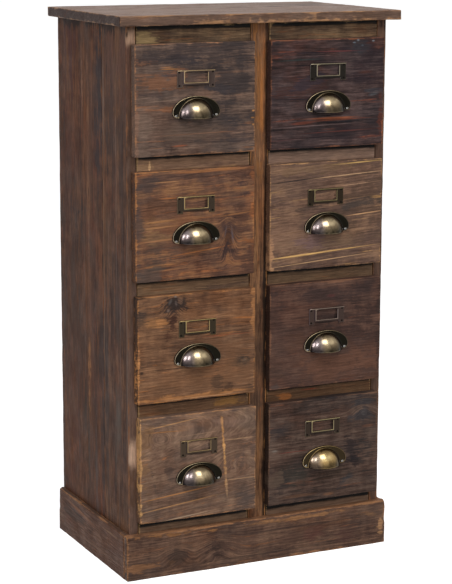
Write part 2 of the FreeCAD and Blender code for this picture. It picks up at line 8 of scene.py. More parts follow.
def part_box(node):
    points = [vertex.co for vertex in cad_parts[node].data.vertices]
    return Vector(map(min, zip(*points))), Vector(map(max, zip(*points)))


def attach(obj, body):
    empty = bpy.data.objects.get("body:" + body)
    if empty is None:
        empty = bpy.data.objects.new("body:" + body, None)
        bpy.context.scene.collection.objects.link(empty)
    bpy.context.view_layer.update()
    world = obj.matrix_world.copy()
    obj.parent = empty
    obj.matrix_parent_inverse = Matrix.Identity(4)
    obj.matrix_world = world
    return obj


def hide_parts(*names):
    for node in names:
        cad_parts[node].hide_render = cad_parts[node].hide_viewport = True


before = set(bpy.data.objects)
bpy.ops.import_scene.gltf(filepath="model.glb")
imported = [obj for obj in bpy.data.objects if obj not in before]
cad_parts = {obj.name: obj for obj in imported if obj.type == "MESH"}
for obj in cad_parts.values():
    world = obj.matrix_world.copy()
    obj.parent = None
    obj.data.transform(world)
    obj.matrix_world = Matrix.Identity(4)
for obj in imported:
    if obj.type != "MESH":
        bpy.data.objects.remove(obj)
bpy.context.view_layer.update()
MM = 0.001


def extent(node):
    """Lowest and highest corner of a node in millimetres."""
    low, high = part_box(node)
    return np.array(low) / MM, np.array(high) / MM


# Camera, solved from the edges of the case: its place is counted from the middle
# of the foot of the case front.
CASE_FACE = extent("centre_stile")[0][1]
FOCAL_PIXELS, LONG_SIDE = 1937.15, 584
YAW, PITCH, ROLL = (math.radians(angle) for angle in (25.69, 11.30, 0.20))
EYE = Vector((-1384.07, -2756.51 + CASE_FACE, 1070.95)) * MM


def add_camera():
    ahead = Vector(
        (math.sin(YAW) * math.cos(PITCH), math.cos(YAW) * math.cos(PITCH), -math.sin(PITCH))
    )
    level = Vector((math.cos(YAW), -math.sin(YAW), 0))
    upright = level.cross(ahead)
    across = level * math.cos(ROLL) + upright * math.sin(ROLL)
    above = upright * math.cos(ROLL) - level * math.sin(ROLL)
    data = bpy.data.cameras.new("camera")
    data.sensor_width = 36
    data.lens = FOCAL_PIXELS / LONG_SIDE * data.sensor_width
    data.clip_end = 50
    camera = bpy.data.objects.new("camera", data)
    bpy.context.collection.objects.link(camera)
    turn = Matrix((across, above, -ahead)).transposed().to_quaternion()
    camera.matrix_world = Matrix.LocRotScale(EYE, turn, None)
    bpy.context.scene.camera = camera


add_camera()


# Materials
def colour(text):
    """A linear colour from six hexadecimal digits."""
    parts = [int(text[at : at + 2], 16) / 255 for at in (0, 2, 4)]
    linear = [c / 12.92 if c <= 0.04045 else ((c + 0.055) / 1.055) ** 2.4 for c in parts]
    return (*linear, 1)


class Finish:
    """A node material, with one short call for each kind of node."""

    def __init__(self, name):
        self.material = bpy.data.materials.new(name)
        self.material.use_nodes = True
        self.tree = self.material.node_tree
        self.shader = self.tree.nodes["Principled BSDF"]

    def put(self, socket, value):
        if isinstance(value, bpy.types.NodeSocket):
            self.tree.links.new(value, socket)
        else:
            socket.default_value = value

    def add(self, kind, inputs, output=0, **settings):
        node = self.tree.nodes.new("ShaderNode" + kind)
        for key, value in settings.items():
            setattr(node, key, value)
        for key, value in inputs.items():
            self.put(node.inputs[key], value)
        return node.outputs[output]

    def maths(self, operation, *values):
        return self.add("Math", dict(enumerate(values)), operation=operation)

    def vector(self, operation, *values, output=0):
        return self.add("VectorMath", dict(enumerate(values)), output, operation=operation)

    def noise(self, place, scale, detail=2.0, rough=0.55):
        scaled = self.vector("MULTIPLY", place, scale)
        inputs = {"Vector": scaled, "Scale": 1.0, "Detail": detail, "Roughness": rough}
        return self.add("TexNoise", inputs)

    def fade(self, value, start, end, low=0.0, high=1.0):
        """The value smoothly turned from the span start..end to low..high."""
        inputs = {0: value, 1: start, 2: end, 3: low, 4: high}
        return self.add("MapRange", inputs, interpolation_type="SMOOTHSTEP")

    def blend(self, share, one, other, kind="MIX"):
        inputs = {0: share, 6: one, 7: other}
        return self.add("Mix", inputs, 2, data_type="RGBA", blend_type=kind)

    def ramp(self, value, *stops):
        node = self.tree.nodes.new("ShaderNodeValToRGB")
        self.put(node.inputs[0], value)
        points = node.color_ramp.elements
        while len(points) < len(stops):
            points.new(0.5)
        for point, (at, shade) in zip(points, stops):
            point.position = at
            point.color = shade
        return node.outputs[0]

    def from_middle(self, place, along, across, long, wide, angle=0.0):
        """How far the place is from the middle of an ellipse, 1 at its edge."""
        near = self.add("Mapping", {
            "Vector": place, "Location": (along, across, 0), "Scale": (long, wide, THROUGH),
            "Rotation": (0, 0, math.radians(angle)),
        }, vector_type="TEXTURE")
        return self.vector("LENGTH", near, output=1)

    def attribute(self, name):
        return self.add("Attribute", {}, 2, attribute_name=name)

    def facing(self, axis, sign, start, end, strength=1.0):
        """The strength on the faces that look along the axis."""
        parts = self.tree.nodes.new("ShaderNodeSeparateXYZ")
        self.put(parts.inputs[0], self.add("TexCoord", {}, 1))
        toward = self.maths("MULTIPLY", parts.outputs[axis], float(sign))
        return self.fade(toward, start, end, 0.0, strength)

    def set(self, **inputs):
        for key, value in inputs.items():
            self.put(self.shader.inputs[key.replace("_", " ")], value)
        return self.material


# Marks and knots go right through a board; a mark that is broad and not endless has
# a ragged edge. The tones are the places of the first three shades.
THROUGH, BROAD, ENDLESS = 1e6, 3, 1000
DARK_TONE, MIDDLE_TONE, LIGHT_TONE = 0.41, 0.495, 0.58


def wood(name, axes, shades, seed, centre=(0, 0, 0), pith=(300, 80), tilt=2.0, slope=0.0,
         warm=0.35, stain=0.4, wear=0.6, rough=0.6, sheen=0.1, bend=4.0, rings=0.12,
         figure=1.0, facing=(), marks=(), knots=()):
    """Old, worn board. Lengths are in millimetres and angles in degrees.

    axes: the axes along the grain, across the face and through the board.
    shades: dark, middle, light, warm, stain and bare colours.
    centre: the middle of the board. Marks and knots are counted from it.
    pith: middle of the tree, across and through the board from its centre.
    tilt, slope: how far the grain leans out of the face, and within the face.
    warm, stain, wear: how much warm colour, grey stain and bare arris shows.
    bend, rings, figure: how far the grain wanders, and how strongly its dark lines
    and its bands show.
    facing: axis and sign of the faces that get another colour (own colour, painted sheen, painted shadow),
    colour and strength.
    marks: along, across, half length, half width, angle, colour and strength; stains, wear and painted
    shadow lines.
    knots: along, across, half length, half width and strength.
    """
    dark, middle, light, orange, grey, bare = (colour(shade) for shade in shades.split())
    m = Finish(name)
    here = m.add("TexCoord", {}, 3)
    here = m.vector("MULTIPLY_ADD", here, [1 / MM] * 3, [-c for c in centre])
    split = m.tree.nodes.new("ShaderNodeSeparateXYZ")
    m.put(split.inputs[0], here)
    parts = [split.outputs[axis] for axis in axes]
    flat = m.add("CombineXYZ", dict(enumerate(parts)))
    random = np.random.default_rng(seed)
    shift = [float(value) for value in random.uniform(-900, 900, 3)]
    own = m.vector("ADD", flat, shift)

    # the grain runs round the middle of the tree, bent by noise and by knots
    turned = m.add("Mapping", {
        "Vector": flat,
        "Rotation": (0, math.radians(tilt), math.radians(-slope)),
        "Location": (0, -pith[0], -pith[1]),
    })
    flow = m.tree.nodes.new("ShaderNodeSeparateXYZ")
    m.put(flow.inputs[0], turned)
    ring = m.maths("SQRT", m.maths("ADD", m.maths("POWER", flow.outputs[1], 2.0),
                                   m.maths("POWER", flow.outputs[2], 2.0)))
    ring = m.maths("MULTIPLY_ADD", m.noise(own, (0.0032, 0.012, 0.012), 1.0), bend, ring)
    ring = m.maths("MULTIPLY_ADD", m.noise(own, (0.012, 0.04, 0.04), 1.0), 2.6, ring)
    cores = []
    for along, across, long, wide, strength in knots:
        far = m.maths("MULTIPLY_ADD", m.noise(own, (0.05, 0.05, 0.05)), 0.5,
                      m.from_middle(flat, along, across, long, wide))
        ring = m.maths("MULTIPLY_ADD", m.fade(far, 2.4, 0.2), wide * 1.1, ring)
        cores.append(m.fade(far, 1.35, 0.75, 0.0, strength))
    grain = m.add("CombineXYZ", {0: flow.outputs[0], 1: ring, 2: flow.outputs[2]})
    grain = m.vector("ADD", grain, shift)

    hair = m.noise(grain, (0.06, 1.5, 0.8), 2.0, 0.7)
    fibre = m.noise(grain, (0.03, 0.5, 0.3), 4.0, 0.75)
    lines = m.noise(grain, (0.011, 0.24, 0.12), 4.0, 0.7)
    bands = m.noise(grain, (0.006, 0.06, 0.04), 3.0, 0.6)
    glow = m.noise(m.vector("ADD", grain, (0, 311, 0)), (0.009, 0.16, 0.08), 4.0, 0.7)
    cloud = m.noise(own, (0.02, 0.034, 0.034), 5.0, 0.7)
    patch = m.noise(m.vector("ADD", own, (0, 0, 99)), (0.008, 0.014, 0.014), 4.0, 0.6)
    smudge = m.noise(m.vector("ADD", own, (77, 0, 0)), (0.012, 0.022, 0.022), 5.0, 0.65)
    smear = m.noise(m.vector("ADD", own, (0, 55, 0)), (0.05, 0.014, 0.03), 3.0, 0.6)
    # dark late wood: it darkens slowly across each ring and ends in a sharp edge
    late = m.maths("FRACT", m.maths("MULTIPLY_ADD", fibre, 0.9, m.maths("MULTIPLY", ring, 0.21)))
    late = m.maths("MULTIPLY", m.fade(late, 0.3, 0.92), m.fade(late, 1.0, 0.92))

    # the colour of the boards' bands, then what is on them
    tone = m.maths("MULTIPLY_ADD", lines, 0.24 * figure, m.maths("MULTIPLY", bands, 0.26 * figure))
    tone = m.maths("MULTIPLY_ADD", fibre, 0.16 * figure, tone)
    tone = m.maths("MULTIPLY_ADD", cloud, 0.28, tone)
    tone = m.maths("MULTIPLY_ADD", smear, 0.16, tone)
    tone = m.maths("SUBTRACT", tone, 0.33 * figure + 0.22 - MIDDLE_TONE)
    base = m.ramp(tone, (DARK_TONE, dark), (MIDDLE_TONE, middle), (LIGHT_TONE, light))
    base = m.blend(m.maths("MULTIPLY", m.fade(patch, 0.5, 0.64), 0.4 * warm), base, orange)
    red = m.maths("MULTIPLY", m.fade(glow, 0.64 - 0.14 * warm, 0.72 - 0.1 * warm),
                  m.fade(cloud, 0.4, 0.54))
    base = m.blend(m.maths("MULTIPLY", red, 0.8), base, orange)
    base = m.blend(m.maths("MULTIPLY", m.fade(smudge, 0.54, 0.4), stain), base, grey)
    for core in cores:
        base = m.blend(core, base, dark)
    for axis, sign, shade, strength in facing:
        base = m.blend(m.facing(axis, sign, 0.55, 0.85, strength), base, colour(shade))
    uneven = m.maths("MULTIPLY_ADD", m.maths("SUBTRACT", tone, MIDDLE_TONE), 13.0,
                     m.maths("MULTIPLY", m.maths("SUBTRACT", cloud, 0.5), 2.8))
    even = m.maths("MULTIPLY", uneven, 0.13)
    for along, across, long, wide, angle, shade, strength in marks:
        edge = uneven if wide > BROAD and long < ENDLESS else even
        far = m.maths("ADD", m.from_middle(flat, along, across, long, wide, angle), edge)
        base = m.blend(m.fade(far, 1.25, 0.35, 0.0, strength), base, colour(shade))
    # bare wood along the worn arrises
    arris = m.attribute("arris")
    ragged = m.maths("MULTIPLY_ADD", m.maths("SUBTRACT", cloud, 0.5), 2.6, arris)
    ragged = m.maths("MULTIPLY_ADD", m.maths("SUBTRACT", fibre, 0.5), 1.2, ragged)
    base = m.blend(m.fade(ragged, 1.05 - 0.5 * wear, 1.45 - 0.5 * wear, 0.0, 0.8), base, bare)
    shadow = m.maths("MULTIPLY_ADD", late, -rings, 1.0)
    shadow = m.maths("MULTIPLY", shadow, m.fade(fibre, 0.34, 0.66, 0.84, 1.16))
    shadow = m.maths("MULTIPLY", shadow, m.fade(hair, 0.3, 0.7, 0.81, 1.19))
    base = m.blend(1.0, base, m.add("CombineColor", {0: shadow, 1: shadow, 2: shadow}), "MULTIPLY")

    height = m.maths("MULTIPLY_ADD", late, -0.5, m.maths("ADD", fibre, hair))
    bump = m.add("Bump", {"Strength": 0.6, "Distance": 0.6 * MM, "Height": height})
    gloss = m.fade(m.maths("ADD", fibre, cloud), 0.7, 1.3, rough + 0.12, rough - 0.12)
    return m.set(Base_Color=base, Roughness=gloss, Normal=bump, Specular_IOR_Level=sheen)


# Brass that looks to the left, towards the windows, gets a cool tint: a painted reflection of the window
# light
COOL_LIGHT = (0.78, 0.82, 1.35, 1)


def brass(name, seed, patina, body, bright):
    """Aged brass: dark in the hollows, bright where the mesh's shine says so: worn crests and painted
    highlights.
    """
    m = Finish(name)
    here = m.vector("ADD", m.add("TexCoord", {}, 3), (seed * 0.7, seed * 1.3, seed * 0.4))
    mottle = m.noise(here, (240, 240, 240), 5.0, 0.65)
    cloud = m.noise(here, (60, 60, 60), 3.0, 0.6)
    shine = m.maths("MULTIPLY_ADD", m.maths("SUBTRACT", mottle, 0.5), 0.3, m.attribute("shine"))
    shine = m.maths("MULTIPLY_ADD", m.maths("SUBTRACT", cloud, 0.5), 0.16, shine)
    shade = m.ramp(shine, (0.1, colour(patina)), (0.55, colour(body)), (1.0, colour(bright)))
    # painted cool reflection on the faces that look left
    cool_reflection = m.blend(1.0, shade, COOL_LIGHT, "MULTIPLY")
    shade = m.blend(m.facing(0, -1, 0.25, 0.6), shade, cool_reflection)
    gloss = m.fade(shine, 0.1, 0.9, 0.2, 0.21)
    bump = m.add("Bump", {"Strength": 0.2, "Distance": 0.12 * MM, "Height": mottle})
    return m.set(Base_Color=shade, Metallic=1.0, Roughness=gloss, Normal=bump)


# Shapes
ON_FACE = 0.01  # a point this near to a face lies on it
WORN = 7  # how far from an arris its wear reaches
WANDER = 0.3  # how far a face sinks at most


def ripple(points, size, seed):
    """Smooth noise between about -1 and 1 at each point, with waves of that size."""
    random = np.random.default_rng(seed)
    total = np.zeros(len(points))
    for _ in range(7):
        way = random.normal(size=3)
        way *= random.uniform(0.6, 1.7) * 2 * math.pi / size / np.linalg.norm(way)
        total += np.sin(points @ way + random.uniform(0, 2 * math.pi))
    return total / 2.6


def dress(name, points, faces, material, body, nodes, attribute):
    """A mesh object from points in millimetres, riding on its body.

    attribute: name of a value that the material reads, and the value at each point.
    """
    mesh = bpy.data.meshes.new(name)
    mesh.from_pydata((np.asarray(points) * MM).tolist(), [], [list(face) for face in faces])
    mesh.shade_smooth()
    mesh.materials.append(material)
    layer = mesh.attributes.new(attribute[0], "FLOAT", "POINT")
    layer.data.foreach_set("value", np.asarray(attribute[1], np.float32))
    piece = bpy.data.objects.new(name, mesh)
    bpy.context.collection.objects.link(piece)
    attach(piece, body)
    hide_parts(*nodes)


def cuts_between(low, high, inner, step):
    """Grid lines from low to high, closer together near both ends."""
    near = [0, 0.4, 0.9, 1.5, 2.3, 3.6, 6]
    lines = {round(v, 4) for v in inner}
    for offset in near:
        if offset < (high - low) / 2:
            lines |= {round(low + offset, 4), round(high - offset, 4)}
    start, stop = low + near[-1], high - near[-1]
    if stop - start > step:
        count = math.ceil((stop - start) / step)
        lines |= {round(start + (stop - start) * at / count, 4) for at in range(1, count)}
    kept = []
    for line in sorted(lines):
        if not kept or line - kept[-1] > 0.05 or line in inner:
            kept.append(line)
    return np.array(kept)


def skin(lines, filled):
    """Corner points and outward faces round the filled cells of a grid."""
    padded = np.pad(filled, 1)
    corners, faces = {}, []
    for axis in range(3):
        one, two = (axis + 1) % 3, (axis + 2) % 3
        change = np.diff(padded.astype(np.int8), axis=axis)
        for cell in np.argwhere(change):
            at = [0, 0, 0]
            at[axis], at[one], at[two] = cell[axis], cell[one] - 1, cell[two] - 1
            loop = []
            for first, second in ((0, 0), (1, 0), (1, 1), (0, 1)):
                corner = list(at)
                corner[one] += first
                corner[two] += second
                loop.append(corners.setdefault(tuple(corner), len(corners)))
            faces.append(loop if change[tuple(cell)] < 0 else loop[::-1])
    points = np.array([[lines[a][c[a]] for a in range(3)] for c in corners])
    return points, faces


def board(name, node, material, body="case", core=None, extra=(), cuts=(), arris=1.4,
          step=(8, 8, 8), chips=(), seed=0):
    """A board with uneven, worn arrises and a slightly wavy face.

    core: its main box; extra: boxes added, such as tenons; cuts: boxes taken away.
    arris: radius of the edges, or a function of the place from 0 to 1 that gives it.
    step: widest cell of the mesh on each axis.
    chips: place, radius and depth of each dent.
    """
    low, high = (np.array(end, float) for end in (core or extent(node)))
    boxes = [(low, high), *extra]
    lines = []
    for axis in range(3):
        ends = [end[axis] for box in (*boxes[1:], *cuts) for end in box]
        inside = [v for v in ends if low[axis] < v < high[axis]]
        outside = [v for v in ends if not low[axis] <= v <= high[axis]]
        lines.append(np.unique(np.concatenate([
            cuts_between(low[axis], high[axis], inside, step[axis]), outside,
        ])))
    middles = np.stack(np.meshgrid(*[(l[1:] + l[:-1]) / 2 for l in lines], indexing="ij"), -1)

    def within(box):
        return np.all((middles > np.array(box[0])) & (middles < np.array(box[1])), axis=-1)

    filled = np.any([within(box) for box in boxes], axis=0)
    for box in cuts:
        filled &= ~within(box)
    points, faces = skin(lines, filled)
    gaps = np.minimum(points - low, high - points)
    of_core = np.all(gaps > -ON_FACE, axis=1)
    nearest = np.sort(gaps, axis=1)
    outer = nearest[:, 0] < ON_FACE
    wear = np.clip(1 - nearest[:, 1] / WORN, 0, 1) * outer
    share = (points - low) / (high - low)
    radius = arris(share) if callable(arris) else np.full(len(points), float(arris))
    radius = radius * (1 + 0.35 * ripple(points, 34, seed) + 0.25 * ripple(points, 11, seed + 1))
    radius = np.clip(radius, 0.35, (high - low).min() / 2 - 0.05)[:, None]
    within_arris = np.clip(points, low + radius, high - radius)
    away = points - within_arris
    length = np.linalg.norm(away, axis=1, keepdims=True)
    safe = np.maximum(length, 1e-9)
    rounded = within_arris + away * np.abs(away).max(axis=1, keepdims=True) / safe
    sunk = WANDER * (0.5 + 0.5 * np.clip(ripple(points, 90, seed + 2), -1, 1))
    rounded = rounded - away / safe * (sunk * outer)[:, None]
    for place, size, depth in chips:
        reach = np.clip(1 - ((points - np.array(place)) ** 2).sum(1) / size**2, 0, 1)
        inward = (low + high) / 2 - points
        inward /= np.maximum(np.linalg.norm(inward, axis=1, keepdims=True), 1e-9)
        rounded += (inward * 0.4 - away / safe) * (reach * depth)[:, None]
        wear = np.maximum(wear, reach)
    points = np.where(of_core[:, None], np.clip(rounded, low, high), points)
    dress(name, points, faces, material, body, [node], ("arris", wear))


# Shades: dark, middle, light, warm, stain, bare; BARE is for the wood inside
STILE = "40291c 694a35 8c6445 a05c2e 473b35 b07a4a"
RAIL = "3b2c22 614c3a 80664c 8a5430 443a30 997a54"
PLINTH = "3c2b25 5e463a 7e604d 8a5836 463c38 a0714c"
TOP = "4a3831 6b5347 8c7060 8a5a3c 564a46 a57a55"
BARE = "8a6a48 a98760 c4a47c b48452 8f7a62 cdb08a"


def table(text):
    """Marks from text: each is along, across, half length, half width, angle, colour, strength."""
    rows = [mark.split() for mark in text.split(",")]
    return [(*map(float, row[:5]), row[5], float(row[6])) for row in rows]


# Each front is cut from another board: its shades, its grain and the marks on it
FRONTS = {
    "1_left": dict(
        shades="302724 53423a 725c4f 8c5e42 3a3838 a0714e", tilt=1, pith=(300, 100), warm=0.3, stain=0.3,
        marks=table("""
    14 72 86 20 0 3e3432 .7, -62 30 36 16 0 80573f .7, -46 48 17 1.1 -1 b87c44 .8,
    -50 51 12 .9 -1 a87040 .7, -60 -14 42 4 0 82563c .7, 10 -54 80 1.2 1 8a6048 .7,
    -28 -72 14 1.8 2 8c4c30 .7, 42 13 20 6 -8 30323a .7, 36 47 13 4 4 241b1a .7, -45 38 22 3 0 30323a .5,
    -40 -77 16 4 4 241b1a .5, 80 -62 26 24 0 403838 .6, -100 -30 3 60 0 94644a .6,
    -90 -52 16 46 0 7c6658 .6, -10 -50 44 10 0 705a4c .5, 60 40 36 2 1 7c5a46 .5,
    100 -22 2.4 1.6 0 c88a4c .7, 99 -33 3 1.4 0 c88a4c .7, 100 -44 2.4 1.8 0 b07c48 .7,
    62 18 36 38 0 393130 .7, -20 62 30 6 0 2e2a2e .5, -75 8 30 5 0 4a3c38 .5""")),
    "1_right": dict(
        shades="1a1313 3a2b29 564441 743e2c 22242a 7a4c34", tilt=1, pith=(250, 80), warm=0.3, stain=0.3,
        figure=1.35,
        marks=table("""
    10 -40 52 2 0 96563a 1, 20 -43 60 1.2 1 74402e .8, -45 -46 26 2.6 3 6c3a2c .7,
    30 -47 60 1.5 1 100e12 .95, -20 -51 90 .9 1 6c5a58 .7, 68 32 14 2.6 2 643c2e .6,
    -60 8 40 12 2 4c302a .5, 55 70 10 10 10 30363a .6, 82 82 2.6 1.6 0 8a9096 .6, 47 80 3.4 1.4 0 76808a .5,
    62 75 2.2 1.5 0 68727c .5, 54 84 2.5 2 0 7c848c .6, 40 -72 60 12 0 34282a .5, 20 -62 70 1 1 5c3028 .6,
    103 -66 2 24 0 b06844 .9, 98 -40 3 30 0 5e3226 .6, 82 2 14 4 0 48484c .6, 84 -4 10 3 10 5a5c60 .5,
    -30 66 60 1 0 16121a .8, 20 67 40 1.2 0 6a3634 .6, -40 18 26 8 20 2c2c36 .5, 68 34 40 32 0 2c1e22 .45,
    -80 -72 60 1 3 503030 .5, -50 55 40 1.2 1 303a38 .6, -30 -8 80 1 -1 16141a .8, -40 46 50 .9 1 141014 .7,
    -10 -70 90 .9 1 141014 .7""")),
    "2_left": dict(
        shades="42291f 694939 8a6244 9e6038 443a37 ab7448", tilt=2, slope=2, pith=(240, 60), warm=0.5,
        marks=table("""
    24 84 82 2.4 .5 a46c44 .8, -66 4 38 9 3 946a4a .5, -60 8 30 1.8 3 b07c4e .7, -64 -1 34 1.6 3 aa7850 .7,
    30 46 84 15 0 5c4336 .55, -50 70 34 1.2 1 a87850 .7, -70 -20 34 10 3 94704e .5,
    -60 -22 34 2 3 ac7850 .7, -60 -62 30 2.8 3 ac7448 .7, -50 -70 26 1.4 3 a06c48 .6,
    10 -43 70 1.4 6 a8683c .8, -10 -50 50 1.2 6 3a322c .6, 56 -8 14 7 0 4a3c3c .6, 82 52 14 12 0 3e3130 .75,
    100 10 5 40 0 ae6a3c .8, -36 54 9 5 0 382e2a .75, -100 10 7 70 0 4a3e3b .7, -84 70 16 14 0 4a3e3a .6,
    -60 -46 34 12 0 50443c .5, -66 30 30 12 0 5a3e2e .5, 66 -50 24 22 0 56423a .5,
    -46 44 18 1.4 0 b06c38 .6, 72 -20 46 60 0 4e372d .6, 70 12 34 1.4 5 9c6a44 .7, -90 -78 20 9 0 5a4c44 .6,
    88 -30 14 8 0 9a6038 .6, 57 -28 10 28 0 2a2022 .7, 64 -22 16 2.2 97 6a5e62 .5,
    52 -16 12 1.6 80 5c5054 .5
        """), knots=[(57, -28, 9, 24, 0.8)]),
    "2_right": dict(
        shades="4a352c 6e5344 8a6a53 b48a58 4c3e3b b58a5e", tilt=1, slope=3.5, pith=(300, 100), warm=0.2,
        marks=table("""
    -10 -61.5 110 1.5 3.2 d2a468 1, -50 -64 46 1.8 3.2 dcae6e .9, -10 -75 110 .9 3.8 c09870 .9,
    40 63.5 74 .9 2.8 c09a74 .9, -62 58.5 50 1.3 4 2c2422 .9, 60 47.5 50 .9 3.4 bc9474 .8,
    60 83 54 1.1 2 c8a060 .8, 94 24 12 2.6 0 cc9a60 .85, 75 10 36 44 0 564438 .5, 70 16 28 5 2 403834 .7,
    72 -2 36 1.1 4 cc9c70 .85, -50 12 44 3.4 4 40352e .6, -78 -36 34 20 0 92705a .6,
    -6 -48 60 9 3 866a54 .55, -50 76 66 7 0 86694f .5, 0 42 90 7 0 5e473b .4, -101 -70 4 26 0 c0906a .7,
    92 -74 12 12 0 4a3830 .6, -30 -46 20 9 0 6a5258 .5, -50 80 50 .8 3 8a6a50 .7, 20 22 60 .8 4 7e6048 .7,
    -40 -24 70 .8 4 806048 .7, 20 -86 90 .9 2 50382c .7""")),
    "3_left": dict(
        shades="432d21 6f4f3a 8c664a a2663a 443730 aa7444", tilt=2, pith=(300, 80), warm=0.45, stain=0.3,
        marks=table("""
    -42 70 15 17 0 2a2321 .85, -47 76 6 2.6 60 5e5652 .6, -37 73 5 2.2 100 6a5c56 .5,
    -42 42 7 16 0 3e261e .85, -46 26 12 8 0 4a2e22 .6, -84 45 15 10 0 a8764c .6, -62 44 7 4 0 ac764a .7,
    -66 37 10 1.6 0 bc8454 .6, 82 -32 13 10 25 3e342c .85, 84 -30 5 3 25 66584c .6,
    0 -58 110 26 0 866045 .5, 0 -81 130 3.6 0 ac764a .85, 10 -84 90 1 0 c89468 .7,
    -102 -50 2.4 40 0 cc8e5a .9, -20 -33 90 1 0 3e2c22 .8, 100 40 3.4 34 0 a8744a .8,
    -96 -34 8 4 0 241b1a .7, 34 -60 8 16 0 4c3a2e .6, -96 60 9 26 0 383230 .6, 60 -6 42 14 0 7c563c .5,
    56 -72 10 4 0 3a2a22 .6, 50 14 50 1 0 8c4a30 .6, 96 -78 12 10 0 503c30 .6, 10 60 12 16 0 5c4030 .4,
    -98 86 9 3 0 241c1a .7, -50 62 3 3 0 7a6a62 .5, -30 78 3 4 0 80604c .5, -38 84 3 2 0 8a8480 .5
        """), knots=[(-42, 70, 13, 14, 0.8)]),
    "3_right": dict(
        shades="2e201b 50382f 654a3e 6e4230 322b2a 7a5540", tilt=1, pith=(300, 80), warm=0.25, stain=0.3,
        figure=0.7,
        marks=table("""
    20 -54 100 30 0 6e4c3c .7, 0 66 100 14 0 3e2f2c .6, 66 16 44 36 0 362825 .6, -60 -14 40 14 0 5e4234 .5,
    -4 47 24 5 0 604236 .5, 0 -74 80 8 0 5c4034 .4, 101 10 4 70 0 342622 .7, 10 62 9 3 0 5a3230 .5,
    -84 -60 26 16 0 443630 .5, -90 -84 14 6 0 4e4440 .6, -30 30 70 .9 1 3a2a26 .6""")),
    "4_left": dict(
        shades="4c392f 735848 91735d a86a40 5a4e48 b5835a", tilt=4, slope=3, pith=(60, 60), bend=7,
        warm=0.25, rings=0.1, figure=0.6,
        marks=table("""
    44.5 28 2.6 54 4 c48c56 1, 45.4 18 2.4 22 4 d8a46c .8, 49 -26 2 16 3 c8986a .9,
    51 -58 1.8 26 3 a88464 .7, -102.5 25 2.2 66 0 e0ac72 1, -40 -44 70 1.2 5.5 c08450 .95,
    -40 -62 90 1.1 6 b48558 .8, -45 74 66 1.1 6.5 b8895c .8, 80 -32 34 1 0 b8906c .8,
    70 36 40 1.2 0 a88464 .7, -30 -84 60 1.1 5 b89c80 .8, -60 62 40 1.2 -2 a06a3c .7,
    -94 19 12 1.2 0 c09070 .8, -54 -6 6 8 10 4a3a33 .7, -48 -18 12 3 0 53423a .5, 48 -6 14 14 0 5c463c .4,
    -82 -8 2.4 20 12 54463f .6, 80 -72 26 12 0 564a45 .6, 74 84 24 4 0 564a46 .5, 76 66 34 12 0 947462 .5,
    -93 40 12 56 0 926e50 .6, -68 52 15 7 0 5e4a3e .6, -68 52 10 4 0 7a6050 .7, -82 76 16 3 5 5a4a42 .5,
    95 6 5 26 -8 5e4b42 .6, 80 4 4 22 -8 5e4b42 .6, 68 2 3 16 -8 604d43 .5, -30 -30 70 .9 5 5a463c .6,
    10 -70 80 .9 6 5c4a40 .6, 0 52 50 .9 2 9c7c64 .6
        """), knots=[(72, 4, 30, 14, 0.0), (-68, 52, 12, 8, 0.0)]),
    "4_right": dict(
        shades="271d19 4c3a32 665348 7a4c36 34302f 6f5240", tilt=2, pith=(240, 60), warm=0.25, stain=0.3,
        figure=1.1,
        marks=table("""
    72 58 20 18 0 454040 .7, 72 58 13 11 0 332d2e .6, 74 59 7 5 0 524b4a .6, -60 1 36 1.1 0 663028 .8,
    -92 6 7 2.4 0 7e746c .7, 10 -80 12 3 0 80583e .6, 46 -58 14 8 30 3e4246 .6, 50 -4 14 24 0 261f20 .7,
    60 -30 7 14 15 1d181a .7, -60 -48 24 14 0 36352f .5, -50 -76 36 3 0 684a38 .6,
    -80 -60 18 16 0 322c2b .5, 84 30 12 3 0 6e4a38 .6, -44 22 34 8 0 342822 .5, -86 0 18 12 0 3c302a .5,
    30 -46 34 10 0 36291f .5, -92 -46 10 12 0 6a5648 .6, 84 -10 14 26 0 32302f .5, 102 30 2 50 0 6a4c3a .6,
    -90 42 16 8 0 3a3434 .5, 60 84 30 4 0 30292a .5
        """), knots=[(74, 59, 18, 12, 0.0)]),
}

SIDES = ("left", "right")


def middle_of(low, high):
    return [float(value) for value in (np.array(low) + np.array(high)) / 2]


# Case
def upper_front(sharp, soft):
    """Radius by place: soft along the upper outer arris, sharp elsewhere."""
    def radius(share):
        outer = (share[:, 1] < 0.5) & (share[:, 2] > 0.5)
        return np.where(outer, soft, sharp)
    return radius


low, high = extent("top_board")
TOP_END = "2a140c"
TOP_MARKS = table("""
    150 20 90 5 2 4c3c36 .6, 200 60 40 14 3 4a3c38 .5, -60 -60 120 9 1 8c7468 .6,
    -150 -20 90 16 0 947a6c .5, 60 90 120 4 -1 9a8a80 .5, -90 60 80 20 0 7a5444 .5,
    210 -90 40 12 0 8a786e .5, 0 -120 160 3 1 5a463c .6, 40 30 200 1.5 1 4c3a32 .6""")
# The lighter upper face is painted sheen of the light glancing across the top
top_wood = wood("top_wood", (0, 1, 2), TOP, 3, middle_of(low, high), (300, 160), 1.2, warm=0.3,
                stain=0.5, wear=0.7, sheen=0.12, rough=0.5, figure=1.3, marks=TOP_MARKS,
                facing=[(2, 1, "8c7060", 0.65), (0, -1, TOP_END, 0.93), (0, 1, TOP_END, 0.93),
                        (1, -1, "5f4634", 0.45)])
board("top_board", "top_board", top_wood, arris=2.2, step=(9, 9, 5), seed=30,
      # small dents along the lower front arris
      chips=[((x, low[1], low[2]), 13 + (x // 4) % 5, 0.3) for x in range(-140, 240, 19)])
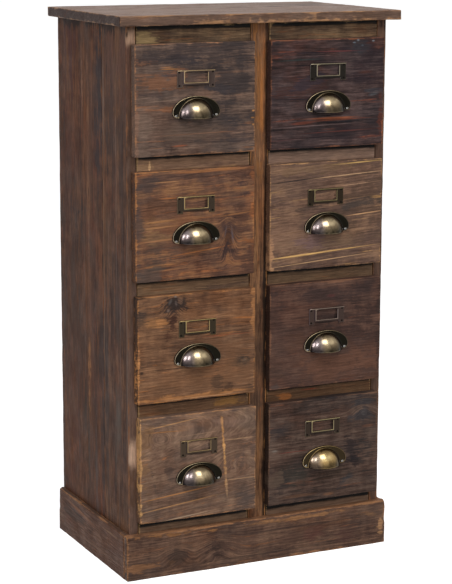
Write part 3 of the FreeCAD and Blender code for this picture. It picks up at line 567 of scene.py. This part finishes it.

# The side boards' front edges: their own colour, darkened as painted shadow of the drawer fronts beside
# them
FRONT_EDGE = [(1, -1, "5a463b", 0.7)]
# A dark band along the top of each side board: painted shadow of the top's overhang
SHADOW_UNDER_TOP = (441, 0, 8, 900, 0, "1c1411", 0.75)
BOARD_MARKS = {
    "left_side_front_board": table("""
    380 -10 70 40 0 6a4a3e .5, 320 44 90 2.6 0 7e695e .8, 200 -6 220 1.6 0 6a574f .7,
    60 26 100 1.6 0 6c5950 .7, -190 -8 60 8 0 5e5147 .6, 130 -12 14 7 0 8a5a40 .7,
    -60 -20 150 1.6 0 67544b .6, 280 10 50 26 0 3c2f2b .5, -310 30 60 6 0 6c5040 .6,
    90 -30 200 3 0 43342f .5, -130 38 300 7 0 3b2e2a .6, 60 47.5 330 1.3 0 86705f .75,
    -60 -47 170 1.5 0 8c7768 .75, -330 -10 90 1.5 0 705a4c .7, 240 -34 150 2.2 0 2c211e .7,
    40 8 260 1.2 0 2c2220 .7, -220 -50 240 4 0 6e574c .6, 428 -50 14 3 0 a8876f .85,
    -236 -50 26 2.4 0 c4a48c .85"""),
    "left_side_rear_board": table("""
    230 -94.5 210 1.8 0 181211 .95, -220 -94.5 240 1.3 0 211917 .8, 60 64 380 26 0 4a281a .5,
    180 -2 260 1.5 0 2a1d19 .8, -160 20 240 1.5 0 2b1f1b .8, 120 40 300 1.2 0 2c1f1b .7,
    350 -84 130 12 0 332829 .85, -150 -88 280 9 0 382b28 .6, 60 -34 340 10 0 6a4837 .6,
    160 -33 120 4.5 0 80593f .8, -130 -31 60 4.5 0 a0704a .95, 360 -12 34 4 0 96664a .9,
    340 -9 100 1.8 0 70584a .8, -20 -14 380 1.5 0 66534a .6, 375 45 60 24 0 50302b .65,
    115 20 40 22 0 382e2c .65, 126 4 7 13 0 252020 .7, -250 60 80 46 0 5a372a .7, -290 45 10 8 0 80503a .8,
    -255 -16 56 11 0 31271f .75, 0 86 320 9 0 40342f .6, -40 50 80 40 0 49352a .5,
    320 -50 90 2.5 0 5f453a .6, -330 -60 50 9 0 5e4f49 .5"""),
    "right_side_front_board": table("""
    250 10 120 10 0 6e4a38 .6, -120 -20 150 3 0 7a5a46 .7, -280 20 60 22 0 4c3029 .6,
    60 -6 14 8 0 2b2120 .7, 330 -30 60 5 0 3a2d2a .6, 0 36 260 1.6 0 6d574b .7"""),
    "right_side_rear_board": table("""
    -60 30 300 9 0 6a4734 .6, 200 -40 140 5 0 805a42 .7, 330 60 70 26 0 4e302a .6,
    -220 -50 90 30 0 3a2e2b .6, -330 10 50 6 0 8a6044 .7, 90 70 12 9 0 2a2120 .7, 20 -80 320 9 0 3c2f2a .6,
    0 12 360 1.6 0 68544a .7, -120 76 60 4 0 7c543c .6"""),
}
SIDE_SHADES = {
    "front": "341f16 523526 6c4931 793e20 33251f 81573b",
    "rear": "311b11 4d2d1c 653e25 723417 302017 794a2c",
}
REBATE = extent("back_panel")
for side in SIDES:
    for part, seed in (("front", 41), ("rear", 43)):
        node = f"{side}_side_{part}_board"
        low, high = extent(node)
        side_wood = wood(f"{node}_wood", (2, 1, 0), SIDE_SHADES[part], seed + len(side),
                         middle_of(low, high), (260 + seed, 70), 0.7, warm=0.4, stain=0.35,
                         figure=1.8, facing=FRONT_EDGE, marks=[*BOARD_MARKS[node], SHADOW_UNDER_TOP])
        board(node, node, side_wood, cuts=[REBATE] if part == "rear" else [], arris=1.1,
              step=(8, 9, 9), seed=seed + len(side))

low, high = extent("centre_stile")
# The last, endless dark line along the stile's right edge is painted shadow beside the right-hand drawer
# fronts
STILE_MARKS = table("""
    325 1 130 9 0 a06a3c .6, 320 4 70 3 0 c07a42 .6, -60 0 200 9 0 5c4434 .4, 120 -3 60 2 0 9a6a42 .6,
    -250 2 60 3 0 8f623e .6, 10 6 30 4 0 3c2a22 .5, 0 12.8 2000 4.4 0 0f0a08 .85""")
stile_wood = wood("stile_wood", (2, 0, 1), STILE, 51, middle_of(low, high), (200, 60), 0.6,
                  warm=0.5, stain=0.3, figure=1.6, marks=STILE_MARKS)
board("centre_stile", "centre_stile", stile_wood, arris=1.0, step=(6, 6, 9), seed=51)

# Rails: the foot and head of each row, and the height of the painted shadow line on it
RAIL_LEVELS = {
    "top_rails": [(858, 889)],
    "middle_rails": [(660.5, 690.5), (463, 493), (265.5, 295.5)],
    "bottom_rails": [(48, 98)],
}
# The painted shadow line lies under the top's overhang, under the lowest drawer fronts, and elsewhere this
# far above a rail's foot, just under the drawer front above
RAIL_SHADOW_LINE, SHADOW_LINE_ABOVE_FOOT = {"top_rails": 885.5, "bottom_rails": 88}, 24
RAIL_ENDS = (17.0, 213.0)  # from the middle of the case
TENON_LONG, TENON_INSET, TENON_THICK = 7, 5, 8
RAIL_WASH = {
    "bottom_rail_1_left": "7a604e", "bottom_rail_1_right": "846a58",
    "middle_rail_1_left": "92705a", "middle_rail_1_right": "9c8070", "middle_rail_2_left": "86684f",
    "middle_rail_2_right": "705742", "middle_rail_3_left": "70503a", "middle_rail_3_right": "664832",
}
RAIL_MARKS = {
    "top_rail_1_left": table("-86 -3 13 8 0 a48a60 .65, -40 2 20 2 0 54423a .5"),
    "middle_rail_1_left": table(
        "-90 -5 16 11 0 a07e5e .7, -76 -6 1.2 9 0 d0a67a .9, 60 -6 30 6 0 54403a .5"
    ),
    "middle_rail_2_left": table("-84 -4 7 7 0 b08058 .7, 40 -8 30 4 0 4c3c38 .5"),
    "middle_rail_3_right": table("-66 -2 9 5 0 a86838 .7, -20 2 18 1.2 0 94402a .6"),
    "middle_rail_3_left": table("60 -2 26 5 0 b08048 .6"),
}
for node, levels in RAIL_LEVELS.items():
    low, high = extent(node)
    for number, (foot, head) in enumerate(levels, 1):
        for sign, side in ((-1, "left"), (1, "right")):
            ends = sorted(sign * end for end in RAIL_ENDS)
            core = ((ends[0], low[1], foot), (ends[1], high[1], head))
            tenon_face, tenon_back = low[1] + TENON_INSET, low[1] + (TENON_INSET + TENON_THICK)
            tenons = [
                ((a, tenon_face, foot + TENON_INSET), (b, tenon_back, head - TENON_INSET))
                for a, b in ((ends[0] - TENON_LONG, ends[0]), (ends[1], ends[1] + TENON_LONG))
            ]
            name = f"{node[:-1]}_{number}_{side}"
            seed = 60 + number * 7 + len(side) + len(node)
            # a near-black painted shadow line along the rail, under the drawer front or the top above it
            shadow_line = RAIL_SHADOW_LINE.get(node, foot + SHADOW_LINE_ABOVE_FOOT) - (foot + head) / 2
            marks = [*RAIL_MARKS.get(name, []), (0, shadow_line, 2000, 4.8, 0, "090604", 1.0)]
            if name in RAIL_WASH:
                marks.insert(0, (0, 0, 2000, 40, 0, RAIL_WASH[name], 0.6))
            rail_wood = wood(f"{name}_wood", (0, 2, 1), RAIL, seed, middle_of(*core),
                             (200 + seed, 60), 1.5, warm=0.45, stain=0.4, figure=1.4, marks=marks)
            board(name, node, rail_wood, core=core, extra=tenons, arris=0.9, step=(7, 6, 6),
                  seed=seed)

low, high = extent("plinth_front")
PLINTH_MARKS = table("""
    -120 30 110 6 0 3e2e28 .5, 75 29 90 3.2 0 a0734e .85, -215 -17 30 5 0 94694a .75,
    100 -12 14 12 0 5e3c34 .6, 160 -12 14 12 0 5a3e36 .5, 70 14 150 3 0 3b2d28 .6, 230 0 4 20 0 b08560 .85,
    208 18 22 5 -18 8a6548 .7, -150 31 40 4 0 9c6c44 .7, -76 -3 20 13 0 3a2b26 .75, -78 -2 9 5 0 2a201d .7,
    -150 -4 12 16 0 43352e .6, -200 5 50 4 0 44352f .6, 20 -24 150 1.6 0 43342d .7,
    -10 0 60 9 0 684d40 .5""")
plinth_wood = wood("plinth_wood", (0, 2, 1), PLINTH, 71, middle_of(low, high), (250, 60), 1,
                   warm=0.4, stain=0.3, wear=0.9, rings=0.2, facing=[(2, 1, "94694a", 0.6)],
                   marks=PLINTH_MARKS, knots=[(-76, -3, 26, 15, 0.0), (-150, -4, 18, 13, 0.0)])
board("plinth_front", "plinth_front", plinth_wood, arris=upper_front(1.3, 5.0), step=(8, 6, 6),
      seed=71)
PLINTH_SIDE_MARKS = table("""
    45 21 66 3 5 8e6046 .85, 60 14 60 2.4 5 2e2421 .7, -90 24 40 2 0 86664f .7, 60 6 60 5 0 46362f .6,
    -20 -20 80 2 0 7a5a48 .7, 110 -14 24 8 0 6c4636 .6, -110 4 20 12 0 5e4034 .6""")
for side in SIDES:
    node = f"plinth_{side}"
    low, high = extent(node)
    outer = 0 if side == "left" else 1

    def radius(share, outer=outer):
        return np.where((np.abs(share[:, 0] - outer) < 0.5) & (share[:, 2] > 0.5), 4.4, 1.1)

    side_wood = wood(f"{node}_wood", (1, 2, 0), PLINTH, 73 + outer, middle_of(low, high), (280, 60),
                     1, warm=0.35, stain=0.4, wear=0.8, marks=PLINTH_SIDE_MARKS,
                     facing=[(2, 1, "5c4436", 0.5), (0, 2 * outer - 1, "5c341e", 0.45)])
    board(node, node, side_wood, arris=radius, step=(4, 8, 6), seed=73 + outer)

# Inner pieces keep their own shape: the grain runs along X, Y or Z
inner = {
    way: wood(f"bare_wood_{name}", axes, BARE, seed, pith=(0, 200), warm=0.1, stain=0.2, wear=0)
    for way, name, axes, seed in (
        ("X", "wide", (0, 2, 1), 81), ("Y", "deep", (1, 2, 0), 82), ("Z", "tall", (2, 0, 1), 83),
    )
}
KEPT = {"bottom_board": "X", "back_panel": "Z", "centre_partition": "Z", "drawer_runners": "Y",
        "drawer_guides": "Y", "plinth_corner_blocks": "Z", "top_battens": "Y"}
for row in range(1, 5):
    for side in SIDES:
        KEPT[f"drawer_{row}_{side}_box"] = "Y"
        KEPT[f"drawer_{row}_{side}_bottom"] = "X"
for node, way in KEPT.items():
    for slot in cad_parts[node].material_slots:
        slot.material = inner[way]

steel = Finish("old_iron")
rust = steel.noise(steel.add("TexCoord", {}, 3), (300, 300, 300), 4.0)
steel.set(Base_Color=steel.ramp(rust, (0.3, colour("2d2622")), (0.7, colour("5a4a40"))),
          Metallic=0.8, Roughness=steel.fade(rust, 0.3, 0.7, 0.65, 0.4))
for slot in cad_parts["back_panel_nails"].material_slots:
    slot.material = steel.material


# Hardware, in millimetres from the middle of each piece on the face of the wood:
# across, out of the drawer and up. Each part is its points, faces and the points' shine.
PULL_WIDE, PULL_HIGH, EAR = 41.0, 25.5, 8.0
FLANGE = 1.6
DOME_WIDE, DOME_REACH, DOME_FOOT, WALL, DOME_RISE = 30.4, 22.0, -8.9, 1.6, 1.005
LIP_RISE = 0.9
SCREW_AT, SCREW_RADIUS, SCREW_RISE, SCREW_SLOT = (34.5, -4.8), 1.9, 1.1, 0.5
PIN_AT, PIN_RADIUS, PIN_SEAT, PIN_RISE, PIN_SHINE = (28.6, 10.4), 1.5, 1.1, 0.7, 0.12


def pull_outline(inset, sides=48):
    """The arch of the flange with its rounded ears, this far inside its edge."""
    points = []
    for at in range(9):
        angle = math.pi / 2 * (at / 8 - 1)
        points.append((PULL_WIDE - EAR + (EAR - inset) * math.cos(angle),
                       (EAR - inset) * math.sin(angle)))
    for at in range(1, sides):
        angle = math.pi * at / sides
        points.append(((PULL_WIDE - inset) * math.cos(angle), (PULL_HIGH - inset) * math.sin(angle)))
    return points + [(-x, z) for x, z in reversed(points[:9])]


def loft(rings, closed=True, cap=True):
    """Faces between rings of the same length, and over the last ring."""
    count = len(rings[0])
    points = [point for ring in rings for point in ring]
    faces = []
    for level in range(len(rings) - 1):
        for at in range(count if closed else count - 1):
            nxt = (at + 1) % count
            a, b = level * count, (level + 1) * count
            faces.append((a + at, a + nxt, b + nxt, b + at))
    if cap:
        faces.append(tuple(range(len(points) - count, len(points))))
    return points, faces


def join(*shapes):
    """One shape from several lists of points, faces and shine."""
    points, faces, shine = [], [], []
    for some_points, some_faces, some_shine in shapes:
        faces += [tuple(at + len(points) for at in face) for face in some_faces]
        points += list(some_points)
        shine += list(some_shine)
    return points, faces, shine


def rim_light(x, z):
    """Painted highlight on the rims: bright at the upper left and dull towards the right."""
    return 0.45 + 0.55 / (1 + math.exp((x - 0.4 * z - 4) / 7))


def flange_part():
    """The flat flange with the raised rim round it."""
    # how far in from the edge, how far out of the wood, shine
    profile = [(0, 0, 0.1), (0, 1.9, 0.2), (0.12, 2.4, 0.3), (0.45, 2.72, 0.65), (0.8, 2.8, 0.8),
               (1.1, 2.7, 0.45), (1.45, 2.3, 0.1), (1.75, 1.75, 0.0), (2.2, 1.6, 0.0), (5.0, 1.6, 0.0)]
    rings, shine = [], []
    for inset, out, bright in profile:
        ring = [(x, out, z) for x, z in pull_outline(inset)]
        rings.append(ring)
        shine += [bright * rim_light(x, z) for x, _, z in ring]
    points, faces = loft(rings)
    return points, faces, shine


def shell(wide, reach, columns=44, rows=22):
    """Rows of points over half a round cap, from the lip to its foot."""
    rise = reach - FLANGE
    ball = (wide**2 + rise**2) / (2 * rise)
    centre = reach - ball
    edge = (FLANGE - centre) / ball
    limit = math.acos(edge) - 1e-4
    grid = []
    for row in range(rows + 1):
        line = []
        for column in range(columns + 1):
            # columns crowd towards the two corners, where the cap comes to a point
            turn = limit * math.sin(math.pi / 2 * (2 * column / columns - 1))
            top = math.acos(min(1.0, edge / math.cos(turn)))
            lean = top * row / rows
            line.append((
                ball * math.sin(turn),
                centre + ball * math.cos(turn) * math.cos(lean),
                DOME_FOOT + DOME_RISE * ball * math.cos(turn) * math.sin(lean),
            ))
        grid.append(line)
    return grid


def dome_part():
    """The open cup with its wall and its rounded lip."""
    outer = shell(DOME_WIDE, DOME_REACH)
    inner_rows = shell(DOME_WIDE - WALL, DOME_REACH - WALL)
    lip = []
    for share, drop in ((0.12, 0.28), (0.5, 0.0), (0.88, 0.28)):
        lip.append([
            tuple(a + (b - a) * share for a, b in zip(one, other))[:2] + (DOME_FOOT + drop,)
            for one, other in zip(outer[0], inner_rows[0])
        ])
    # the walls begin a little above the lip
    for rows in (outer, inner_rows):
        rows[0] = [(x, out, z + LIP_RISE) for x, out, z in rows[0]]
    rings = [*reversed(outer), *lip, *inner_rows]
    points, faces = loft(rings, closed=False, cap=False)
    shine = []
    for number, ring in enumerate(rings):
        for x, out, z in ring:
            if number < len(outer) - 1:
                # the highlight: across the brow, and a weak strip on the left flank
                height = (z - DOME_FOOT) / DOME_WIDE
                across = math.exp(-(((x + 4) / (23 if x > -4 else 26)) ** 2))
                brow = math.exp(-(((height - 0.57) / (0.34 if height > 0.57 else 0.26)) ** 2))
                flank = math.exp(-(((x + 24) / 7) ** 2) - ((height - 0.36) / 0.2) ** 2)
                shine.append(0.15 + 0.66 * across * brow + 0.34 * flank)
            else:
                shine.append(0.4 if number < len(outer) + len(lip) - 1 else 0.1)
    return points, faces, shine


def bead_part():
    """The fine bead where the dome meets the flange."""
    profile = [(0.7, FLANGE - 0.1, 0.1), (0.7, FLANGE + 0.45, 0.15), (0.5, FLANGE + 0.75, 0.35),
               (0.2, FLANGE + 0.8, 0.55), (-0.1, FLANGE + 0.75, 0.3), (-0.4, FLANGE + 1.2, 0.2),
               (-1.0, FLANGE + 1.2, 0.2)]
    rings, shine = [], []
    for grow, out, bright in profile:
        ring = []
        for at in range(49):
            angle = math.pi * at / 48
            radius = DOME_WIDE + grow
            ring.append((radius * math.cos(angle), out,
                         DOME_FOOT + DOME_RISE * radius * math.sin(angle)))
        rings.append(ring)
        # the bead's painted highlight, further left than the rims' and fading out towards the right
        shine += [bright * (1.5 * rim_light(x + 6, z) - 0.5) for x, _, z in ring]
    points, faces = loft(rings, closed=False, cap=False)
    return points, faces, shine


def button(x, z, radius, seat, rise, slot=0.0):
    """A round head with a screwdriver slot."""
    stations = [-1, -0.92, -0.75, -0.5, -0.24, -0.15, 0.15, 0.24, 0.5, 0.75, 0.92, 1]
    points, shine = [], []
    for across in stations:
        half = math.sqrt(max(0.0, 1 - across**2))
        for at in range(11):
            along = half * math.sin(math.pi / 2 * (at / 5 - 1))
            dome = math.sqrt(max(0.0, 1 - 0.8 * (across**2 + along**2)))
            sunk = slot if abs(across) < 0.2 else 0.0
            out = seat + max(0.05, rise * (0.25 + 0.75 * dome) - sunk)
            points.append((x + radius * across, out, z + radius * along))
            shine.append(0.2 if sunk else 1.0)
    faces = []
    for row in range(len(stations) - 1):
        for at in range(10):
            a = row * 11 + at
            faces.append((a, a + 11, a + 12, a + 1))
    return points, faces, shine


def rect(half, foot, head, out):
    """Corners of a rectangle, from the right foot round to the left one."""
    return [(half, out, foot), (half, out, head), (-half, out, head), (-half, out, foot)]


def rect_loft(outer, inner, profile, cap, top=1.0):
    """Rings between two rectangles: share of the way, height and shine."""
    rings, shine = [], []
    for share, out, bright in profile:
        half, foot, head = (a + (b - a) * share for a, b in zip(outer, inner))
        corners = rect(half, foot, head, out)
        ring = []
        for at in range(4):
            a, b = np.array(corners[at]), np.array(corners[(at + 1) % 4])
            ring += [tuple(a + (b - a) * step / 6) for step in range(6)]
            shine += [bright * (top if at == 1 else 1)] * 6
        rings.append(ring)
    points, faces = loft(rings, cap=cap)
    return points, faces, shine


HOLDER_HEAD = 13.5


def holder_part():
    """A frame for a card, open at the top, on a plate with a wing at each end."""
    outer, window = (22.8, -8.2, HOLDER_HEAD), (19.5, -5.6, 10.9)
    wings = []
    for sign in (-1, 1):
        # each wing from the frame to its end, its outer edges rolled over
        points, faces, shine = rect_loft((4.95, -HOLDER_HEAD, HOLDER_HEAD), (3.0, -11.5, 11.5), [
            (0, 0, 0.4), (0, 0.85, 0.9), (0.12, 1.1, 0.9), (0.25, 1.1, 0.3), (0.4, 1.08, 0.1),
            (1, 1.05, 0.0)], True)
        wings.append(([(x + sign * 27.6, out, z) for x, out, z in points], faces, shine))
    frame_ring = rect_loft(outer, window, [
        (0, 0, 0.1), (0, 1.5, 0.2), (0.1, 1.8, 0.35), (0.3, 1.9, 0.35), (0.45, 1.95, 0.4),
        (0.58, 2.1, 0.9), (0.72, 2.3, 1.1), (0.88, 2.3, 1.1), (0.97, 2.1, 0.7), (1.0, 1.9, 0.2),
        (1.0, 0.9, 0.0)], False, top=0.5)
    top_roll = rect_loft((32.5, 12.1, HOLDER_HEAD), (32.2, 12.4, 13.1),
                         [(0, 0.9, 0.6), (0, 2.2, 0.9), (1, 2.4, 1.1)], True)
    strip = rect_loft((23.5, -9.5, -7.9), (23.2, -9.2, -8.0),
                      [(0, 0, 0.1), (0, 1.0, 0.2), (1, 1.1, 0.1)], True)
    return join(*wings, frame_ring, top_roll, strip)


def placed(shape, middle, face):
    """The shape's points moved to its place on the drawer."""
    points, faces, shine = shape
    x, z = middle
    return [(px + x, face - out, pz + z) for px, out, pz in points], faces, shine


# Colours of each drawer: the sides of its front, its label holder, the holder's edges
DRAWER_TINTS = {
    "1_left": "6e5a50 3a302c 7e6b50", "1_right": "4c3a34 24211d 6e6553",
    "2_left": "5c4032 342c24 816d49", "2_right": "6e5242 2a231b 665a3e",
    "3_left": "3a2d28 2d271e 84704a", "3_right": "32241e 372c28 685a50",
    "4_left": "6a5040 3a3027 766244", "4_right": "30241f 2e2620 7d7052",
}
SCREW_FINISH = brass("screw_finish", 7, "1a1816", "4a463e", "8e8a80")
PIN_FINISH = brass("pin_finish", 5, "120f0d", "1d1814", "2c241c")
PULL_TINTS = {"4_right": ("2c2418", "7a6440", "cab482")}
USUAL_TINTS = ("16140f", "665843", "c4b08c")
flange_dome = join(flange_part(), dome_part(), bead_part())
screw_pair = join(*[
    button(sign * SCREW_AT[0], SCREW_AT[1], SCREW_RADIUS, FLANGE, SCREW_RISE, SCREW_SLOT)
    for sign in (-1, 1)
])
holder = holder_part()
pins = join(*[
    button(x * PIN_AT[0], z * PIN_AT[1], PIN_RADIUS, PIN_SEAT, PIN_RISE)
    for x in (-1, 1) for z in (-1, 1)
])
pins = (*pins[:2], [PIN_SHINE] * len(pins[2]))
for row in range(1, 5):
    for side in SIDES:
        key = f"{row}_{side}"
        body = f"drawer_{key}"
        seed = row * 10 + len(side)
        low, high = extent(f"{body}_front")
        centre = middle_of(low, high)
        front = dict(FRONTS[key])
        holder_box = extent(f"{body}_label_holder")
        holder_at = (middle_of(*holder_box)[0], holder_box[1][2] - HOLDER_HEAD)
        aside, above = holder_at[0] - centre[0], holder_at[1] - centre[2]
        # the shadows of the label holder on the wood
        front["marks"] = [*front["marks"], (aside - 1, above - 10.5, 25, 2.0, 0, "0e0a09", 0.75),
                          (aside + 17.5, above + 2, 2.0, 8, 0, "120d0b", 0.6)]
        flank_tint, wing_tint, line_tint = DRAWER_TINTS[key].split()
        front["facing"] = [(0, -1, flank_tint, 0.75), (0, 1, "33261f", 0.6)]
        front_wood = wood(f"{body}_front_wood", (0, 2, 1), front.pop("shades"), seed, centre, **front)
        board(f"{body}_front", f"{body}_front", front_wood, body=body, arris=1.5, step=(6, 6, 6),
              seed=seed)
        face = low[1]
        pull_at = (centre[0], extent(f"{body}_cup_pull")[1][2] - PULL_HIGH)
        metal = brass(f"{body}_brass", seed, *PULL_TINTS.get(key, USUAL_TINTS))
        dull = brass(f"{body}_dull_brass", seed + 3, wing_tint, wing_tint, line_tint)
        for part, shape, at, finish, node in (
            ("pull_casting", flange_dome, pull_at, metal, "cup_pull"),
            ("pull_screws", screw_pair, pull_at, SCREW_FINISH, "cup_pull"),
            ("card_holder", holder, holder_at, dull, "label_holder"),
            ("card_holder_pins", pins, holder_at, PIN_FINISH, "label_holder"),
        ):
            points, faces, shine = placed(shape, at, face)
            dress(f"{body}_{part}", points, faces, finish, body, [f"{body}_{node}"],
                  ("shine", shine))


# Stage: lamps towards the middle of the chest, a white room and a pale floor. The room
# and the floor look brighter to the camera and in the brass than they light the chest.
LAMPS_AIM = Vector((0, -0.1, 0.5))
ROOM_LIGHT, FLOOR_SHADE, FLOOR_GLOW, FLOOR_HALF = 0.22, (0.7, 0.7, 0.7, 1), 0.88, 30


def seen_rays(tree):
    """1 for the rays that look at a surface, 0 for those that only bring light."""
    path = tree.nodes.new("ShaderNodeLightPath")
    seen = path.outputs["Is Camera Ray"]
    for ray in ("Is Glossy Ray", "Is Transmission Ray"):
        either = tree.nodes.new("ShaderNodeMath")
        either.operation = "MAXIMUM"
        tree.links.new(seen, either.inputs[0])
        tree.links.new(path.outputs[ray], either.inputs[1])
        seen = either.outputs[0]
    return seen


def lamp(name, towards, distance, size, power, shape="RECTANGLE", size_y=None):
    """An area lamp that far from the middle of the chest, looking at it."""
    data = bpy.data.lights.new(name, "AREA")
    data.shape = shape
    data.size, data.size_y = size, size_y or size
    data.energy = power
    item = bpy.data.objects.new(name, data)
    bpy.context.collection.objects.link(item)
    way = Vector(towards).normalized()
    item.location = LAMPS_AIM + way * distance
    item.rotation_mode = "QUATERNION"
    item.rotation_quaternion = (-way).to_track_quat("-Z", "Y")


lamp("key", (-0.04, -0.63, 0.76), 2.6, 1.3, 31)
lamp("front", (-0.1, -1.0, 0.2), 3.4, 4.2, 39, "ELLIPSE", size_y=2.6)
lamp("window_left", (-0.93, -0.08, 0.4), 2.6, 0.26, 9, size_y=0.9)
lamp("window_middle", (-0.77, -0.42, 0.54), 2.6, 0.24, 8, size_y=0.8)
lamp("right", (0.85, -0.45, 0.35), 3.2, 3.0, 13)

world = bpy.data.worlds.new("studio")
bpy.context.scene.world = world
world.use_nodes = True
tree = world.node_tree
strength = tree.nodes.new("ShaderNodeMapRange")
tree.links.new(seen_rays(tree), strength.inputs["Value"])
strength.inputs["To Min"].default_value = ROOM_LIGHT
strength.inputs["To Max"].default_value = 1.0
background = tree.nodes["Background"]
tree.links.new(strength.outputs[0], background.inputs["Strength"])
background.inputs["Color"].default_value = (1, 1, 1, 1)

floor_mesh = bpy.data.meshes.new("floor")
corners = [(x * FLOOR_HALF, y * FLOOR_HALF, 0) for x, y in ((-1, -1), (1, -1), (1, 1), (-1, 1))]
floor_mesh.from_pydata(corners, [], [(0, 1, 2, 3)])
floor = bpy.data.objects.new("floor", floor_mesh)
bpy.context.collection.objects.link(floor)
pale = Finish("pale_floor")
grit = pale.noise(pale.add("TexCoord", {}, 3), (9, 9, 9), 4.0)
ground = pale.ramp(grit, (0.3, (0.34, 0.34, 0.34, 1)), (0.7, (0.36, 0.36, 0.36, 1)))
seen = seen_rays(pale.tree)
pale.set(Base_Color=pale.blend(seen, ground, FLOOR_SHADE), Roughness=0.9, Specular_IOR_Level=0.0,
         Emission_Color=(1, 1, 1, 1), Emission_Strength=pale.maths("MULTIPLY", seen, FLOOR_GLOW))
floor_mesh.materials.append(pale.material)

bpy.context.scene.view_settings.view_transform = "Standard"
